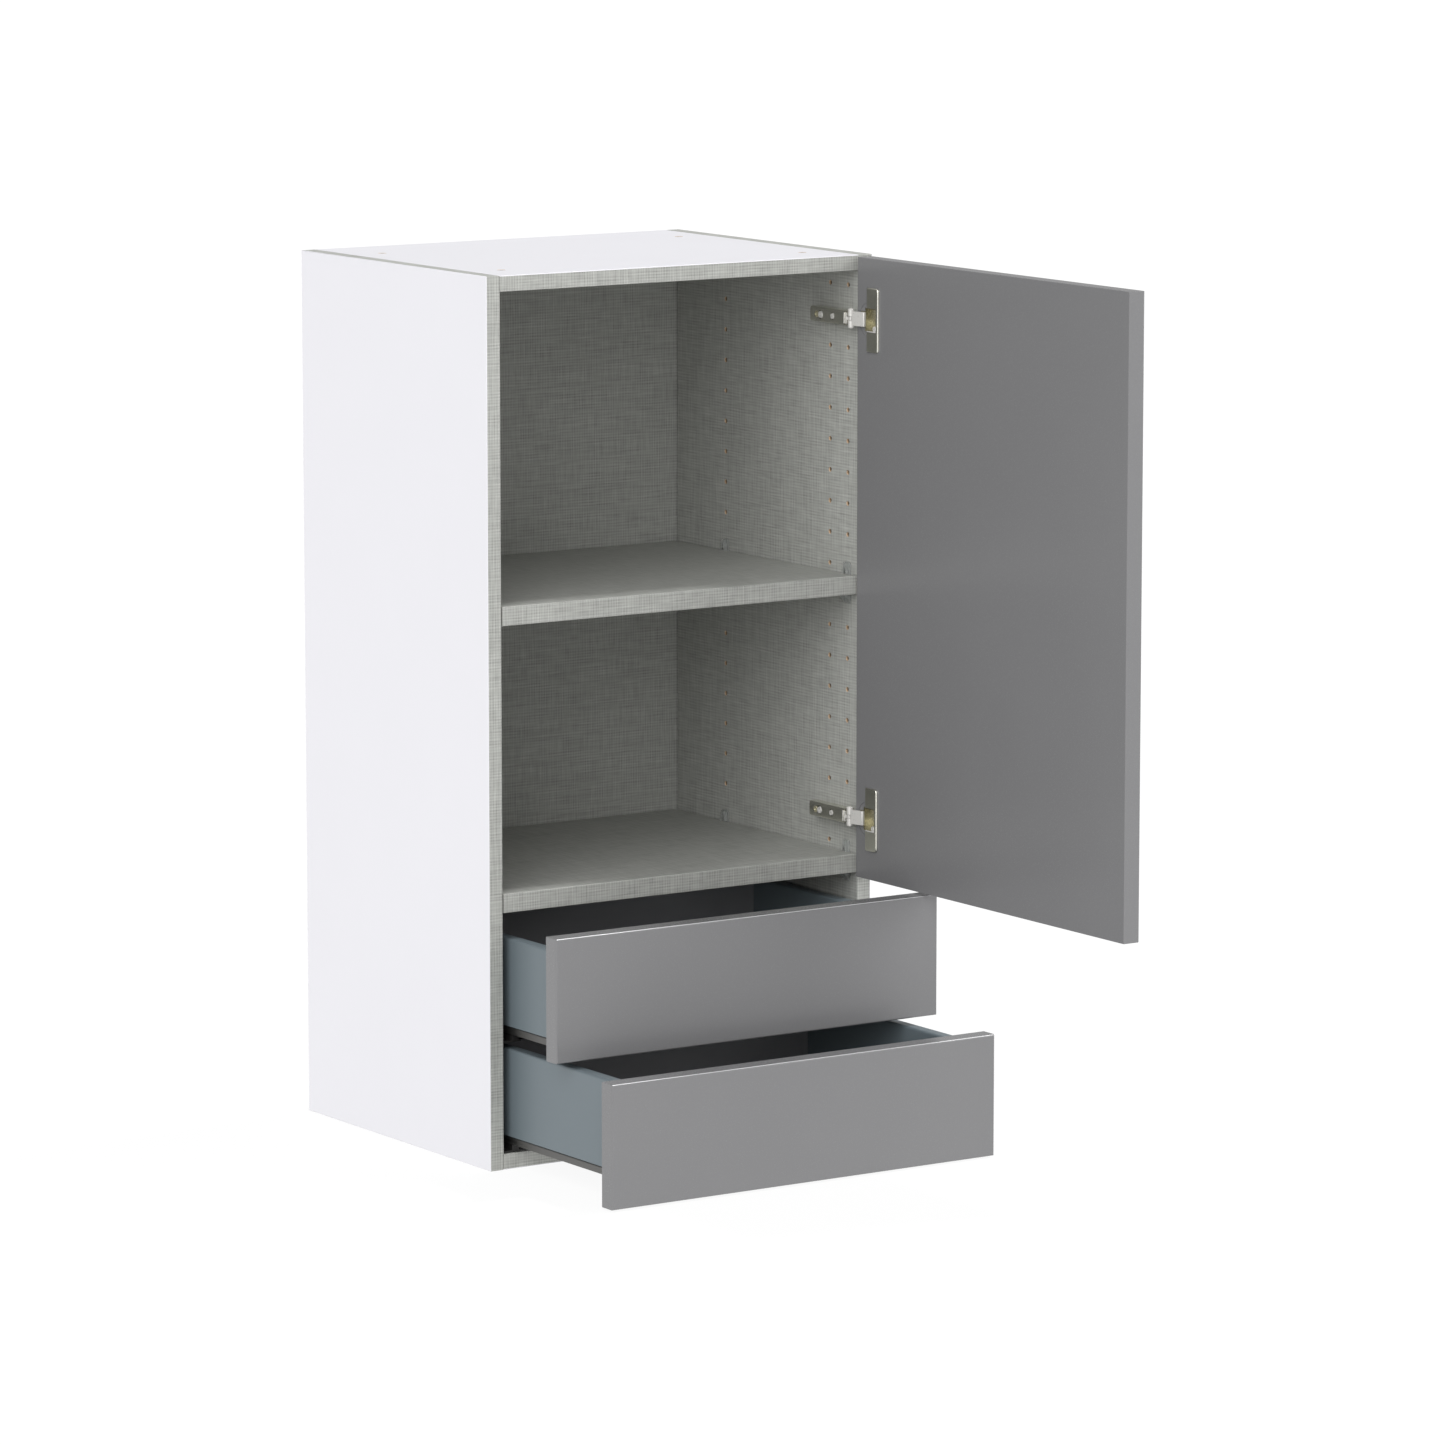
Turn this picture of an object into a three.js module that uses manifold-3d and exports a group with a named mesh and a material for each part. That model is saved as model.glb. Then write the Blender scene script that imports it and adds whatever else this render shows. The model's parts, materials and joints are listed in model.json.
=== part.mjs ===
// Frameless pantry cabinet: a board carcass with one slab door above two steel-sided drawers.
// Millimetres. Origin at the centre of the carcass underside; +X right, +Y towards the wall, +Z up.
// The door stands square to the carcass and both drawers are partly drawn out.
import * as THREE from 'three';
import { mergeVertices } from 'three/addons/utils/BufferGeometryUtils.js';
import Module from 'manifold-3d';

const wasm = await Module();
wasm.setup();

// Overall sizes. The height is one door module above a stack of drawer modules.
const WIDTH = 457.2;
const DEPTH = 355.6;
const DOOR_MODULE = 635;
const DRAWER_MODULE = 127;
const DRAWER_NAMES = ['lower', 'upper'];

// Board thicknesses and the clearances between neighbouring pieces.
const BOARD = 15.875;
const SHELF_BOARD = 19.05;
const FRONT_BOARD = 19.05;
const BACK_SHEET = 4;
const BACK_GROOVE = 6;
const HANGING_RAIL = 96;
const FIT = 0.3;
const REVEAL = 1.5875;
const FRONT_GAP = 2;
const FRONT_EDGE_RADIUS = 2;

// System holes, in rows above the pin line of the divider; columns are distances behind the front.
const HOLE_PITCH = 31.75;
const HOLE_RADIUS = 2.5;
const HOLE_DEPTH = 12;
const FRONT_COLUMN = 19.05;
const SECOND_COLUMN = 50.8;
const REAR_COLUMN = 242;
const SHELF_ROW = 9;
const HINGE_INSET_ROWS = 2;

// Shelf clips: a seat under the board, a thin plate past its end and a lug that locks it from above.
const PIN_CLEARANCE = 0.5;
const PIN_RADIUS = HOLE_RADIUS - PIN_CLEARANCE;
const PIN_LENGTH = 9;
const CLIP_WIDTH = 12;
const CLIP_PLATE = 0.9;
const CLIP_SEAT = 10;
const CLIP_DROP = 6;
const SEAT_LIFT = 4.6;
const LUG_REACH = 4;
const SHELF_END_GAP = FIT + CLIP_PLATE + FIT;
const SHELF_REAR_GAP = 1.5;

// Cam connectors, set into the outer faces of the top and bottom panels.
const CAM_RADIUS = 4;
const CAM_DEPTH = 12.5;
const CAM_SETBACK = 34;
const CAM_FROM_FRONT = 52;
const CAM_FROM_REAR = 76.6;
const BOLT_RADIUS = 2.5;
const BOLT_IN_SIDE = 11;
const CAM_CLEARANCE = 0.4;

// Door hinges. Distances are from the side panel's inner face, the carcass front or the door's edge.
const DOOR_OPEN_DEG = 90;
const PIVOT_FROM_EDGE = 8.1;
const PIVOT_IN_DOOR = 12.4;
const CUP_RADIUS = 17.5;
const CUP_EDGE = 3;
const CUP_FROM_EDGE = CUP_EDGE + CUP_RADIUS;
const CUP_DEPTH = 13.4;
const CUP_WALL = 1;
const CUP_CAVITY = CUP_DEPTH - CUP_WALL;
const FLANGE = { from: 18, to: 35, height: 65, thick: 1.8 };
const LINK_AXIS = { fromPivot: 17.4875, ahead: 2 };
const LINK = { length: 17, thick: 4, height: 14.6, restDeg: -76 };
const LINK_SLOT = { from: 5.7, height: LINK.height + 1.4 };
const COLLAR = { radius: 3.2, height: 19.2 };
const WINDOW = { to: 32, height: COLLAR.height + 4.4 };
const HINGE_PIN_RADIUS = 1.3;
const TONGUE = { radius: 3, height: 5.4, bore: HINGE_PIN_RADIUS + 0.4 };
const ARM = { from: 4, to: 66, face: 14, height: 15.4, wall: 1.2 };
const PLATE = { from: 6, length: 60, thick: 4, height: ARM.height - 2 * (ARM.wall + FIT) };
const ARM_SCREWS = [
  { name: 'front', behind: 27, head: 3 },
  { name: 'rear', behind: 48, head: 3.8 },
];
const SCREW_SHANK = 1.9;
const SCREW = { shank: SCREW_SHANK, hole: SCREW_SHANK + 0.5, head: 1.8, end: 2.2 };

// Drawers: heights are above the surface that carries each one.
const DRAWER_OPEN = { lower: 200, upper: 100 };
const RUNNER_LENGTH = 270;
const RUNNER_SETBACK = 3;
const SIDE_LIFT = 16.5;
const SIDE_GAP = 9.1;
const SIDE_HEADROOM = 6.225;
const SIDE_HEIGHT = DRAWER_MODULE - BOARD - SIDE_LIFT - SIDE_HEADROOM;
const SIDE = { thick: 13, height: SIDE_HEIGHT, sheet: 1.5 };
const DRAWER_BOTTOM = 12;
const DRAWER_BACK = { thick: 12, height: SIDE_HEIGHT - 4.4 };
const DRAWER_MEMBER = { drop: 7.6, sheet: 1.2 };
const MIDDLE_MEMBER = { top: 1.8, bottom: 6.9 };
const CABINET_MEMBER = { drop: 15.9, sheet: 1.5, web: 20, railTop: 7.2, railInset: 2.5 };

// Planes that many pieces share.
const HEIGHT = DOOR_MODULE + DRAWER_NAMES.length * DRAWER_MODULE;
const INNER = WIDTH / 2 - BOARD;
const FRONT = -DEPTH / 2;
const REAR = DEPTH / 2;
const PIN_LINE = HEIGHT - DOOR_MODULE;
const CEILING = HEIGHT - BOARD;
const BACK_REAR = REAR - BOARD - FIT;
const BACK_FRONT = BACK_REAR - BACK_SHEET;
const rowHeight = (row) => PIN_LINE + row * HOLE_PITCH;
const TOP_ROW = Math.floor((CEILING - HOLE_RADIUS - PIN_LINE) / HOLE_PITCH);
const HINGE_ROWS = {
  lower: HINGE_INSET_ROWS,
  upper: Math.floor(DOOR_MODULE / HOLE_PITCH) - HINGE_INSET_ROWS,
};

const finish = (color, roughness, metalness = 0, extra = {}) =>
  new THREE.MeshStandardMaterial({ color, roughness, metalness, ...extra });
const finishes = {
  carcass: () => finish('#e9e9ed', 0.5),
  linen: () => finish('#a9aba2', 0.65),
  front: () => finish('#8a8a8c', 0.35),
  steel: () => finish('#737d85', 0.4, 0.3),
  charcoal: () => finish('#2f2f31', 0.5),
  runner: () => finish('#8f8f8c', 0.35, 0.8),
  nickel: () => finish('#b9b6aa', 0.25, 0.9),
  clear: () => finish('#c8cac6', 0.2, 0, { transparent: true, opacity: 0.5 }),
};

const cabinet = new THREE.Group();

// Shapes ---------------------------------------------------------------------------------------

function box(x, y, z) {
  const span = ([a, b]) => [Math.abs(b - a), (a + b) / 2];
  const [sizes, centres] = [x, y, z].map(span).reduce(
    ([s, c], [size, centre]) => [[...s, size], [...c, centre]],
    [[], []],
  );
  return new THREE.BoxGeometry(...sizes).translate(...centres);
}

// A cylinder along one axis: `ends` is its stretch on that axis, `centre` the other two coordinates.
function rod(axis, radius, ends, centre, sides = 12) {
  const length = Math.abs(ends[1] - ends[0]);
  const middle = (ends[0] + ends[1]) / 2;
  const geometry = new THREE.CylinderGeometry(radius, radius, length, sides);
  if (axis === 'x') {
    return geometry.rotateZ(Math.PI / 2).translate(middle, ...centre);
  }
  if (axis === 'y') {
    return geometry.translate(centre[0], middle, centre[1]);
  }
  return geometry.rotateX(Math.PI / 2).translate(...centre, middle);
}

// A slab with its four upright edges rounded.
function slab([x0, x1], [y0, y1], [z0, z1], radius) {
  const shape = new THREE.Shape();
  shape.moveTo(x0 + radius, y0);
  shape.lineTo(x1 - radius, y0);
  shape.absarc(x1 - radius, y0 + radius, radius, -Math.PI / 2, 0);
  shape.absarc(x1 - radius, y1 - radius, radius, 0, Math.PI / 2);
  shape.absarc(x0 + radius, y1 - radius, radius, Math.PI / 2, Math.PI);
  shape.absarc(x0 + radius, y0 + radius, radius, Math.PI, 1.5 * Math.PI);
  const options = { depth: z1 - z0, bevelEnabled: false, curveSegments: 3 };
  return new THREE.ExtrudeGeometry(shape, options).translate(0, 0, z0);
}

function toSolid(geometry) {
  const bare = geometry.clone();
  bare.deleteAttribute('normal');
  bare.deleteAttribute('uv');
  const merged = mergeVertices(bare, 1e-4);
  return new wasm.Manifold(new wasm.Mesh({
    numProp: 3,
    vertProperties: Float32Array.from(merged.attributes.position.array),
    triVerts: Uint32Array.from(merged.index.array),
  }));
}

function toGeometry(solid) {
  const { vertProperties, triVerts } = solid.getMesh();
  const geometry = new THREE.BufferGeometry();
  geometry.setAttribute('position', new THREE.BufferAttribute(vertProperties, 3));
  geometry.setIndex(new THREE.BufferAttribute(triVerts, 1));
  geometry.computeVertexNormals();
  return geometry;
}

const cut = (body, ...tools) =>
  toGeometry(tools.reduce((left, tool) => left.subtract(toSolid(tool)), toSolid(body)));
const join = (...pieces) =>
  toGeometry(pieces.map(toSolid).reduce((left, right) => left.add(right)));

function add(name, geometry, material, parent = cabinet) {
  const mesh = new THREE.Mesh(geometry, material);
  mesh.name = name;
  parent.add(mesh);
}

// Both hands of a piece are drawn from `hand`, -1 on the left and 1 on the right, and from
// distances measured inwards from that side panel's inner face.
const hands = { left: -1, right: 1 };
const inwards = (hand, ...distances) => distances.map((distance) => hand * (INNER - distance));

// Carcass --------------------------------------------------------------------------------------

const columns = [
  { behind: FRONT_COLUMN, rows: TOP_ROW },
  { behind: SECOND_COLUMN, rows: TOP_ROW },
  { behind: REAR_COLUMN, rows: TOP_ROW - 1 },
];

function systemHoles(hand) {
  return columns.flatMap(({ behind, rows }) =>
    Array.from({ length: rows + 1 }, (_, row) => rod(
      'x', HOLE_RADIUS, inwards(hand, 1, -HOLE_DEPTH), [FRONT + behind, rowHeight(row)], 8,
    )));
}

// Cam connectors stand at the four corners of each end panel; `up` is 1 for the top panel.
const camPlaces = ['bottom', 'top'].flatMap((level) =>
  ['left', 'right'].flatMap((side) =>
    ['front', 'rear'].map((end) => ({ level, side, end }))));

function camConnector({ level, side, end }, slack) {
  const hand = hands[side];
  const up = level === 'top' ? 1 : -1;
  const face = level === 'top' ? HEIGHT : 0;
  const y = end === 'front' ? FRONT + CAM_FROM_FRONT : REAR - CAM_FROM_REAR;
  const [x] = inwards(hand, CAM_SETBACK);
  const faceStep = slack > 0 ? 1 : -0.2;
  const head = rod(
    'z', CAM_RADIUS + slack, [face + up * faceStep, face - up * (CAM_DEPTH + slack)], [x, y],
  );
  const bolt = rod(
    'x', BOLT_RADIUS + slack, inwards(hand, CAM_SETBACK, -BOLT_IN_SIDE - slack),
    [y, face - up * BOARD / 2], 8,
  );
  return join(head, bolt);
}

const camsAt = (key, value) => camPlaces.filter((place) => place[key] === value);
const backGroove = [BACK_FRONT - FIT, BACK_REAR + FIT];

for (const [side, hand] of Object.entries(hands)) {
  const panel = box([hand * INNER, hand * WIDTH / 2], [FRONT, REAR], [0, HEIGHT]);
  const groove = box(
    inwards(hand, 1, -BACK_GROOVE), backGroove, [BOARD - BACK_GROOVE, CEILING + BACK_GROOVE],
  );
  const bolts = camsAt('side', side).map((place) => camConnector(place, CAM_CLEARANCE));
  add(`side_${side}`, cut(panel, groove, ...bolts, ...systemHoles(hand)), finishes.carcass());
}

const betweenSides = [-INNER + FIT, INNER - FIT];
const endPanels = {
  bottom: { z: [0, BOARD], groove: [BOARD - BACK_GROOVE, BOARD + 1] },
  top: { z: [CEILING, HEIGHT], groove: [CEILING - 1, CEILING + BACK_GROOVE] },
};
for (const [level, { z, groove }] of Object.entries(endPanels)) {
  const panel = box(betweenSides, [FRONT, REAR], z);
  const slot = box([-INNER - 1, INNER + 1], backGroove, groove);
  const cams = camsAt('level', level).map((place) => camConnector(place, CAM_CLEARANCE));
  add(`${level}_panel`, cut(panel, slot, ...cams), finishes.carcass());
}

for (const place of camPlaces) {
  const name = `cam_connector_${place.level}_${place.end}_${place.side}`;
  add(name, camConnector(place, 0), finishes.nickel());
}

const backEdge = BACK_GROOVE - FIT;
add('back_panel', box(
  [-INNER - backEdge, INNER + backEdge], [BACK_FRONT, BACK_REAR],
  [BOARD - backEdge, CEILING + backEdge],
), finishes.linen());

const railHeights = {
  bottom: [BOARD + FIT, BOARD + FIT + HANGING_RAIL],
  top: [CEILING - FIT - HANGING_RAIL, CEILING - FIT],
};
for (const [level, z] of Object.entries(railHeights)) {
  add(`hanging_rail_${level}`, box(betweenSides, [REAR - BOARD, REAR], z), finishes.carcass());
}

// Shelves and their clips ----------------------------------------------------------------------

function shelfClip(hand, behind, row) {
  const pinLine = rowHeight(row);
  const y = FRONT + behind;
  const width = [y - CLIP_WIDTH / 2, y + CLIP_WIDTH / 2];
  const top = pinLine + HOLE_PITCH + PIN_RADIUS * 2;
  const overShelf = pinLine + SEAT_LIFT + SHELF_BOARD + FIT;
  const plate = box(inwards(hand, FIT, FIT + CLIP_PLATE), width, [pinLine - CLIP_DROP, top]);
  const seat = box(
    inwards(hand, FIT, CLIP_SEAT), width, [pinLine - CLIP_DROP, pinLine + SEAT_LIFT - FIT],
  );
  const lug = box(
    inwards(hand, FIT, LUG_REACH), [y - CLIP_WIDTH / 3, y + CLIP_WIDTH / 3], [overShelf, top],
  );
  const pins = [pinLine, pinLine + HOLE_PITCH].map((z) => rod(
    'x', PIN_RADIUS, inwards(hand, FIT + CLIP_PLATE / 2, -PIN_LENGTH), [y, z], 8,
  ));
  return join(plate, seat, lug, ...pins);
}

const shelves = { divider_shelf: 0, adjustable_shelf: SHELF_ROW };
const shelfEnd = INNER - SHELF_END_GAP;
for (const [shelf, row] of Object.entries(shelves)) {
  const underside = rowHeight(row) + SEAT_LIFT;
  add(shelf, box(
    [-shelfEnd, shelfEnd], [FRONT, BACK_FRONT - SHELF_REAR_GAP],
    [underside, underside + SHELF_BOARD],
  ), finishes.linen());
  for (const [side, hand] of Object.entries(hands)) {
    for (const [end, behind] of [['front', FRONT_COLUMN], ['rear', REAR_COLUMN]]) {
      add(`${shelf}_clip_${end}_${side}`, shelfClip(hand, behind, row), finishes.clear());
    }
  }
}

// Door and hinges ------------------------------------------------------------------------------

// The door is drawn closed, in a frame whose origin is the line that it swings about.
const doorRight = WIDTH / 2 - REVEAL;
const doorGroup = new THREE.Group();
doorGroup.position.set(doorRight - PIVOT_FROM_EDGE, FRONT - FRONT_GAP - PIVOT_IN_DOOR, 0);
doorGroup.rotation.z = THREE.MathUtils.degToRad(DOOR_OPEN_DEG);
cabinet.add(doorGroup);

const fromEdge = (distance) => PIVOT_FROM_EDGE - distance;
const intoDoor = (depth) => PIVOT_IN_DOOR - depth;
const centred = (z, height) => [z - height / 2, z + height / 2];
const cupHole = (z) => rod(
  'y', CUP_RADIUS + FIT, [intoDoor(CUP_DEPTH + FIT), intoDoor(-1)], [fromEdge(CUP_FROM_EDGE), z], 24,
);
const hingeHeights = Object.entries(HINGE_ROWS).map(([name, row]) => [name, rowHeight(row)]);

const doorSlab = slab(
  [fromEdge(WIDTH - 2 * REVEAL), fromEdge(0)], [intoDoor(FRONT_BOARD), intoDoor(0)],
  [PIN_LINE + REVEAL, HEIGHT - REVEAL], FRONT_EDGE_RADIUS,
);
add('door_panel', cut(doorSlab, ...hingeHeights.map(([, z]) => cupHole(z))), finishes.front(),
  doorGroup);

function hingeCup(z) {
  const face = -FIT - FLANGE.thick;
  const pot = rod(
    'y', CUP_RADIUS, [intoDoor(CUP_DEPTH), intoDoor(-FIT - 0.5)], [fromEdge(CUP_FROM_EDGE), z], 24,
  );
  const flange = box(
    [fromEdge(FLANGE.from), fromEdge(FLANGE.to)], [intoDoor(-FIT), intoDoor(face)],
    centred(z, FLANGE.height),
  );
  const open = [intoDoor(CUP_CAVITY), intoDoor(face - 1)];
  const slot = box([fromEdge(LINK_SLOT.from), fromEdge(FLANGE.from + 1)], open,
    centred(z, LINK_SLOT.height));
  const window = box([fromEdge(FLANGE.from), fromEdge(WINDOW.to)], open, centred(z, WINDOW.height));
  const rimRelief = box(
    [fromEdge(0), fromEdge(FLANGE.from)], [intoDoor(FIT), intoDoor(face - 1)],
    centred(z, 2 * CUP_RADIUS + 2),
  );
  return cut(join(pot, flange), slot, window, rimRelief);
}

function hingePlate(z) {
  const base = box(
    inwards(1, FIT, FIT + PLATE.thick), [FRONT + PLATE.from, FRONT + PLATE.from + PLATE.length],
    centred(z, PLATE.height),
  );
  const threads = ARM_SCREWS.map(({ behind }) => rod(
    'x', SCREW.hole, inwards(1, SCREW.end - FIT, FIT + PLATE.thick + 1), [FRONT + behind, z], 8,
  ));
  const dowels = [FRONT_COLUMN, SECOND_COLUMN].map((behind) => rod(
    'x', PIN_RADIUS, inwards(1, FIT + PIN_RADIUS / 4, -PIN_LENGTH), [FRONT + behind, z], 8,
  ));
  return join(cut(base, ...threads), ...dowels);
}

const axisX = doorRight - PIVOT_FROM_EDGE - LINK_AXIS.fromPivot;
const axisY = FRONT - LINK_AXIS.ahead;

function hingeArm(z) {
  const inner = FIT + PLATE.thick + FIT;
  const outer = box(inwards(1, inner, ARM.face), [FRONT + ARM.from, FRONT + ARM.to],
    centred(z, ARM.height));
  const hollow = box(
    inwards(1, inner - 1, ARM.face - ARM.wall),
    [FRONT + ARM.from + ARM.wall, FRONT + ARM.to - ARM.wall],
    centred(z, ARM.height - 2 * ARM.wall),
  );
  const holes = ARM_SCREWS.map(({ behind }) => rod(
    'x', SCREW.hole, inwards(1, inner, ARM.face + 1), [FRONT + behind, z], 8,
  ));
  const shell = cut(outer, hollow, ...holes);
  const tongue = join(
    rod('z', TONGUE.radius, centred(z, TONGUE.height), [axisX, axisY], 16),
    box([axisX - TONGUE.radius * 0.7, axisX + TONGUE.radius * 0.7],
      [axisY, FRONT + ARM.from + ARM.wall / 2], centred(z, TONGUE.height)),
  );
  const bore = rod('z', TONGUE.bore, centred(z, TONGUE.height + 2), [axisX, axisY]);
  return join(shell, cut(tongue, bore));
}

// The link is drawn along +X from its own pin, then turned to where it stands with the door open.
function hingeLink() {
  const reach = [0, LINK.length];
  const bar = join(
    box(reach, centred(0, LINK.thick), centred(0, LINK.height)),
    rod('z', LINK.thick / 2, centred(0, LINK.height), [LINK.length, 0]),
    rod('z', COLLAR.radius, centred(0, COLLAR.height), [0, 0], 16),
  );
  const tongueSlot = rod(
    'z', TONGUE.radius + 2 * FIT, centred(0, TONGUE.height + 2 * FIT), [0, 0], 16,
  );
  return join(cut(bar, tongueSlot), rod('z', HINGE_PIN_RADIUS, centred(0, COLLAR.height - 1), [0, 0]));
}

function armScrew(z, { behind, head }) {
  const headBase = ARM.face + FIT;
  return join(
    rod('x', head, inwards(1, headBase, headBase + SCREW.head), [FRONT + behind, z], 16),
    rod('x', SCREW.shank, inwards(1, SCREW.end, headBase + SCREW.head / 2), [FRONT + behind, z], 8),
  );
}

for (const [name, z] of hingeHeights) {
  add(`hinge_plate_${name}`, hingePlate(z), finishes.nickel());
  add(`hinge_arm_${name}`, hingeArm(z), finishes.nickel());
  for (const screw of ARM_SCREWS) {
    add(`hinge_screw_${name}_${screw.name}`, armScrew(z, screw), finishes.nickel());
  }
  const linkGroup = new THREE.Group();
  linkGroup.position.set(axisX, axisY, z);
  linkGroup.rotation.z = THREE.MathUtils.degToRad(LINK.restDeg);
  cabinet.add(linkGroup);
  add(`hinge_link_${name}`, hingeLink(), finishes.nickel(), linkGroup);
  add(`hinge_cup_${name}`, hingeCup(z), finishes.nickel(), doorGroup);
}

// Drawers and runners --------------------------------------------------------------------------

// Everything is drawn closed; each group is then drawn out towards -Y.
const drawerFace = FRONT - FRONT_GAP;
const sideSpan = [SIDE_GAP, SIDE_GAP + SIDE.thick];
const boxLength = [drawerFace + FIT, drawerFace + FIT + RUNNER_LENGTH];
const runnerLength = [FRONT + RUNNER_SETBACK, FRONT + RUNNER_SETBACK + RUNNER_LENGTH];
const shrink = ([from, to], inset) => [from + inset, to - inset];

function drawnOut(distance) {
  const group = new THREE.Group();
  group.position.y = -distance;
  cabinet.add(group);
  return group;
}

// A folded sheet channel, open below: the shape of a drawer's side and of the runner under it.
function channel(hand, bottom, top, sheet) {
  const outer = box(inwards(hand, ...sideSpan), boxLength, [bottom, top]);
  const hollow = box(
    inwards(hand, ...shrink(sideSpan, sheet)), shrink(boxLength, -1), [bottom - 1, top - sheet],
  );
  return cut(outer, hollow);
}

function cabinetMember(hand, base) {
  const { drop, sheet, web, railTop, railInset } = CABINET_MEMBER;
  const foot = base - drop;
  return join(
    box(inwards(hand, FIT, FIT + sheet), runnerLength, [foot, base + web]),
    box(inwards(hand, FIT, sideSpan[1]), runnerLength, [foot, foot + sheet]),
    box(inwards(hand, ...shrink(sideSpan, railInset)), runnerLength, [foot, base - railTop]),
  );
}

DRAWER_NAMES.forEach((name, index) => {
  const moduleBase = index * DRAWER_MODULE;
  const base = SIDE_LIFT + (index === 0 ? BOARD : moduleBase);
  const drawer = drawnOut(DRAWER_OPEN[name]);
  const middle = drawnOut(DRAWER_OPEN[name] / 2);
  const inside = INNER - sideSpan[1] - FIT;
  const backFace = boxLength[1] - DRAWER_BACK.thick;

  add(`${name}_drawer_front`, slab(
    [REVEAL - WIDTH / 2, WIDTH / 2 - REVEAL], [drawerFace - FRONT_BOARD, drawerFace],
    [moduleBase + REVEAL, moduleBase + DRAWER_MODULE - REVEAL], FRONT_EDGE_RADIUS,
  ), finishes.front(), drawer);
  add(`${name}_drawer_bottom`, box(
    [-inside, inside], [boxLength[0], backFace - FIT], [base, base + DRAWER_BOTTOM],
  ), finishes.charcoal(), drawer);
  add(`${name}_drawer_back`, box(
    [-inside, inside], [backFace, boxLength[1]], [base, base + DRAWER_BACK.height],
  ), finishes.charcoal(), drawer);

  for (const [side, hand] of Object.entries(hands)) {
    add(`${name}_drawer_side_${side}`,
      channel(hand, base, base + SIDE.height, SIDE.sheet), finishes.steel(), drawer);
    add(`${name}_drawer_runner_${side}`,
      channel(hand, base - DRAWER_MEMBER.drop, base - FIT, DRAWER_MEMBER.sheet),
      finishes.runner(), drawer);
    add(`${name}_middle_runner_${side}`, box(
      inwards(hand, ...shrink(sideSpan, DRAWER_MEMBER.sheet + FIT)), runnerLength,
      [base - MIDDLE_MEMBER.bottom, base - MIDDLE_MEMBER.top],
    ), finishes.runner(), middle);
    add(`${name}_cabinet_runner_${side}`, cabinetMember(hand, base), finishes.runner());
  }
});

export default cabinet;
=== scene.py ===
# %% [markdown]
# # A frameless pantry cabinet
# The real cabinet is cut from board: two sides, a top and a bottom around a thin back. Its inside and
# its edges wear a woven linen pattern, and its outside is plain white. One slab door hangs on two cup
# hinges, and two drawers with folded steel sides slide out below it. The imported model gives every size
# and place, so the looks are made around it and nothing is fitted by eye.

# %% Load the frame
import json
import math

import bmesh
import bpy
from mathutils import Matrix, Vector

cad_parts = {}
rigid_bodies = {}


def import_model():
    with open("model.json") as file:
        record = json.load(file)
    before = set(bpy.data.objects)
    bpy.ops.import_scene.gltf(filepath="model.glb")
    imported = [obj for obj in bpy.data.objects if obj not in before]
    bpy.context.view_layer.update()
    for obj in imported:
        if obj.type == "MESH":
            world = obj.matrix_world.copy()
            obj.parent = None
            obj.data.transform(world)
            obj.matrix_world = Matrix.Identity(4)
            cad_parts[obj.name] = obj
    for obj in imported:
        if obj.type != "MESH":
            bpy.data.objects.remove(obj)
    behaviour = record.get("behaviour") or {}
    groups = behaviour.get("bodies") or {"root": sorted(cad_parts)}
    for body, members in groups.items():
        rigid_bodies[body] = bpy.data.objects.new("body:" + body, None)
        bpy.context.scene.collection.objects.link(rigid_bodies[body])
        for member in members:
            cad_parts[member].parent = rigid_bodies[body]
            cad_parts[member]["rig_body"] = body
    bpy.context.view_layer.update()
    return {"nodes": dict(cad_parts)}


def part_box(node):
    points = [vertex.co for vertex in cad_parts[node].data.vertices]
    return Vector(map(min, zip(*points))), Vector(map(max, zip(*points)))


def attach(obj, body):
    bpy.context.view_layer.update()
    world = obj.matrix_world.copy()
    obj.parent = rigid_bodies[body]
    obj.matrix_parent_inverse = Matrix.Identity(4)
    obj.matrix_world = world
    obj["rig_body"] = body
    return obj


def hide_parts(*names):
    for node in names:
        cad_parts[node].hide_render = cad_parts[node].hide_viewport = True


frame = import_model()
cad = frame["nodes"]
MM = 0.001

# %% [markdown]
# ## The camera
# A long lens keeps upright edges nearly parallel, as a catalogue picture of furniture does. The camera
# stands well back to the left and a little above the cabinet. It has no shift and no depth of field, so
# the same camera serves every other view.

# %% Place the camera
CAMERA_PLACE = Vector((-3.8654, -6.0614, 1.5155))
CAMERA_AZIMUTH = math.radians(-33.626)
CAMERA_ELEVATION = math.radians(8.758)
CAMERA_LENS = 177.594
CAMERA_SENSOR = 36
CAMERA_REACH = 200

camera = bpy.data.objects.new("camera", bpy.data.cameras.new("camera"))
bpy.context.scene.collection.objects.link(camera)
flat_reach = math.cos(CAMERA_ELEVATION)
backwards = Vector((
    math.sin(CAMERA_AZIMUTH) * flat_reach,
    -math.cos(CAMERA_AZIMUTH) * flat_reach,
    math.sin(CAMERA_ELEVATION),
))
camera.location = CAMERA_PLACE
camera.rotation_euler = (-backwards).to_track_quat("-Z", "Y").to_euler()
camera.data.sensor_width = CAMERA_SENSOR
camera.data.lens = CAMERA_LENS
camera.data.clip_end = CAMERA_REACH
bpy.context.scene.camera = camera
print("camera is", round(CAMERA_PLACE.length, 2), "m from the origin")

# %% [markdown]
# ## Wiring nodes
# Materials and Geometry Nodes are both node trees. One small helper adds a node, fills its inputs and
# joins its wires, so that each recipe below reads as a list of steps.


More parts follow.
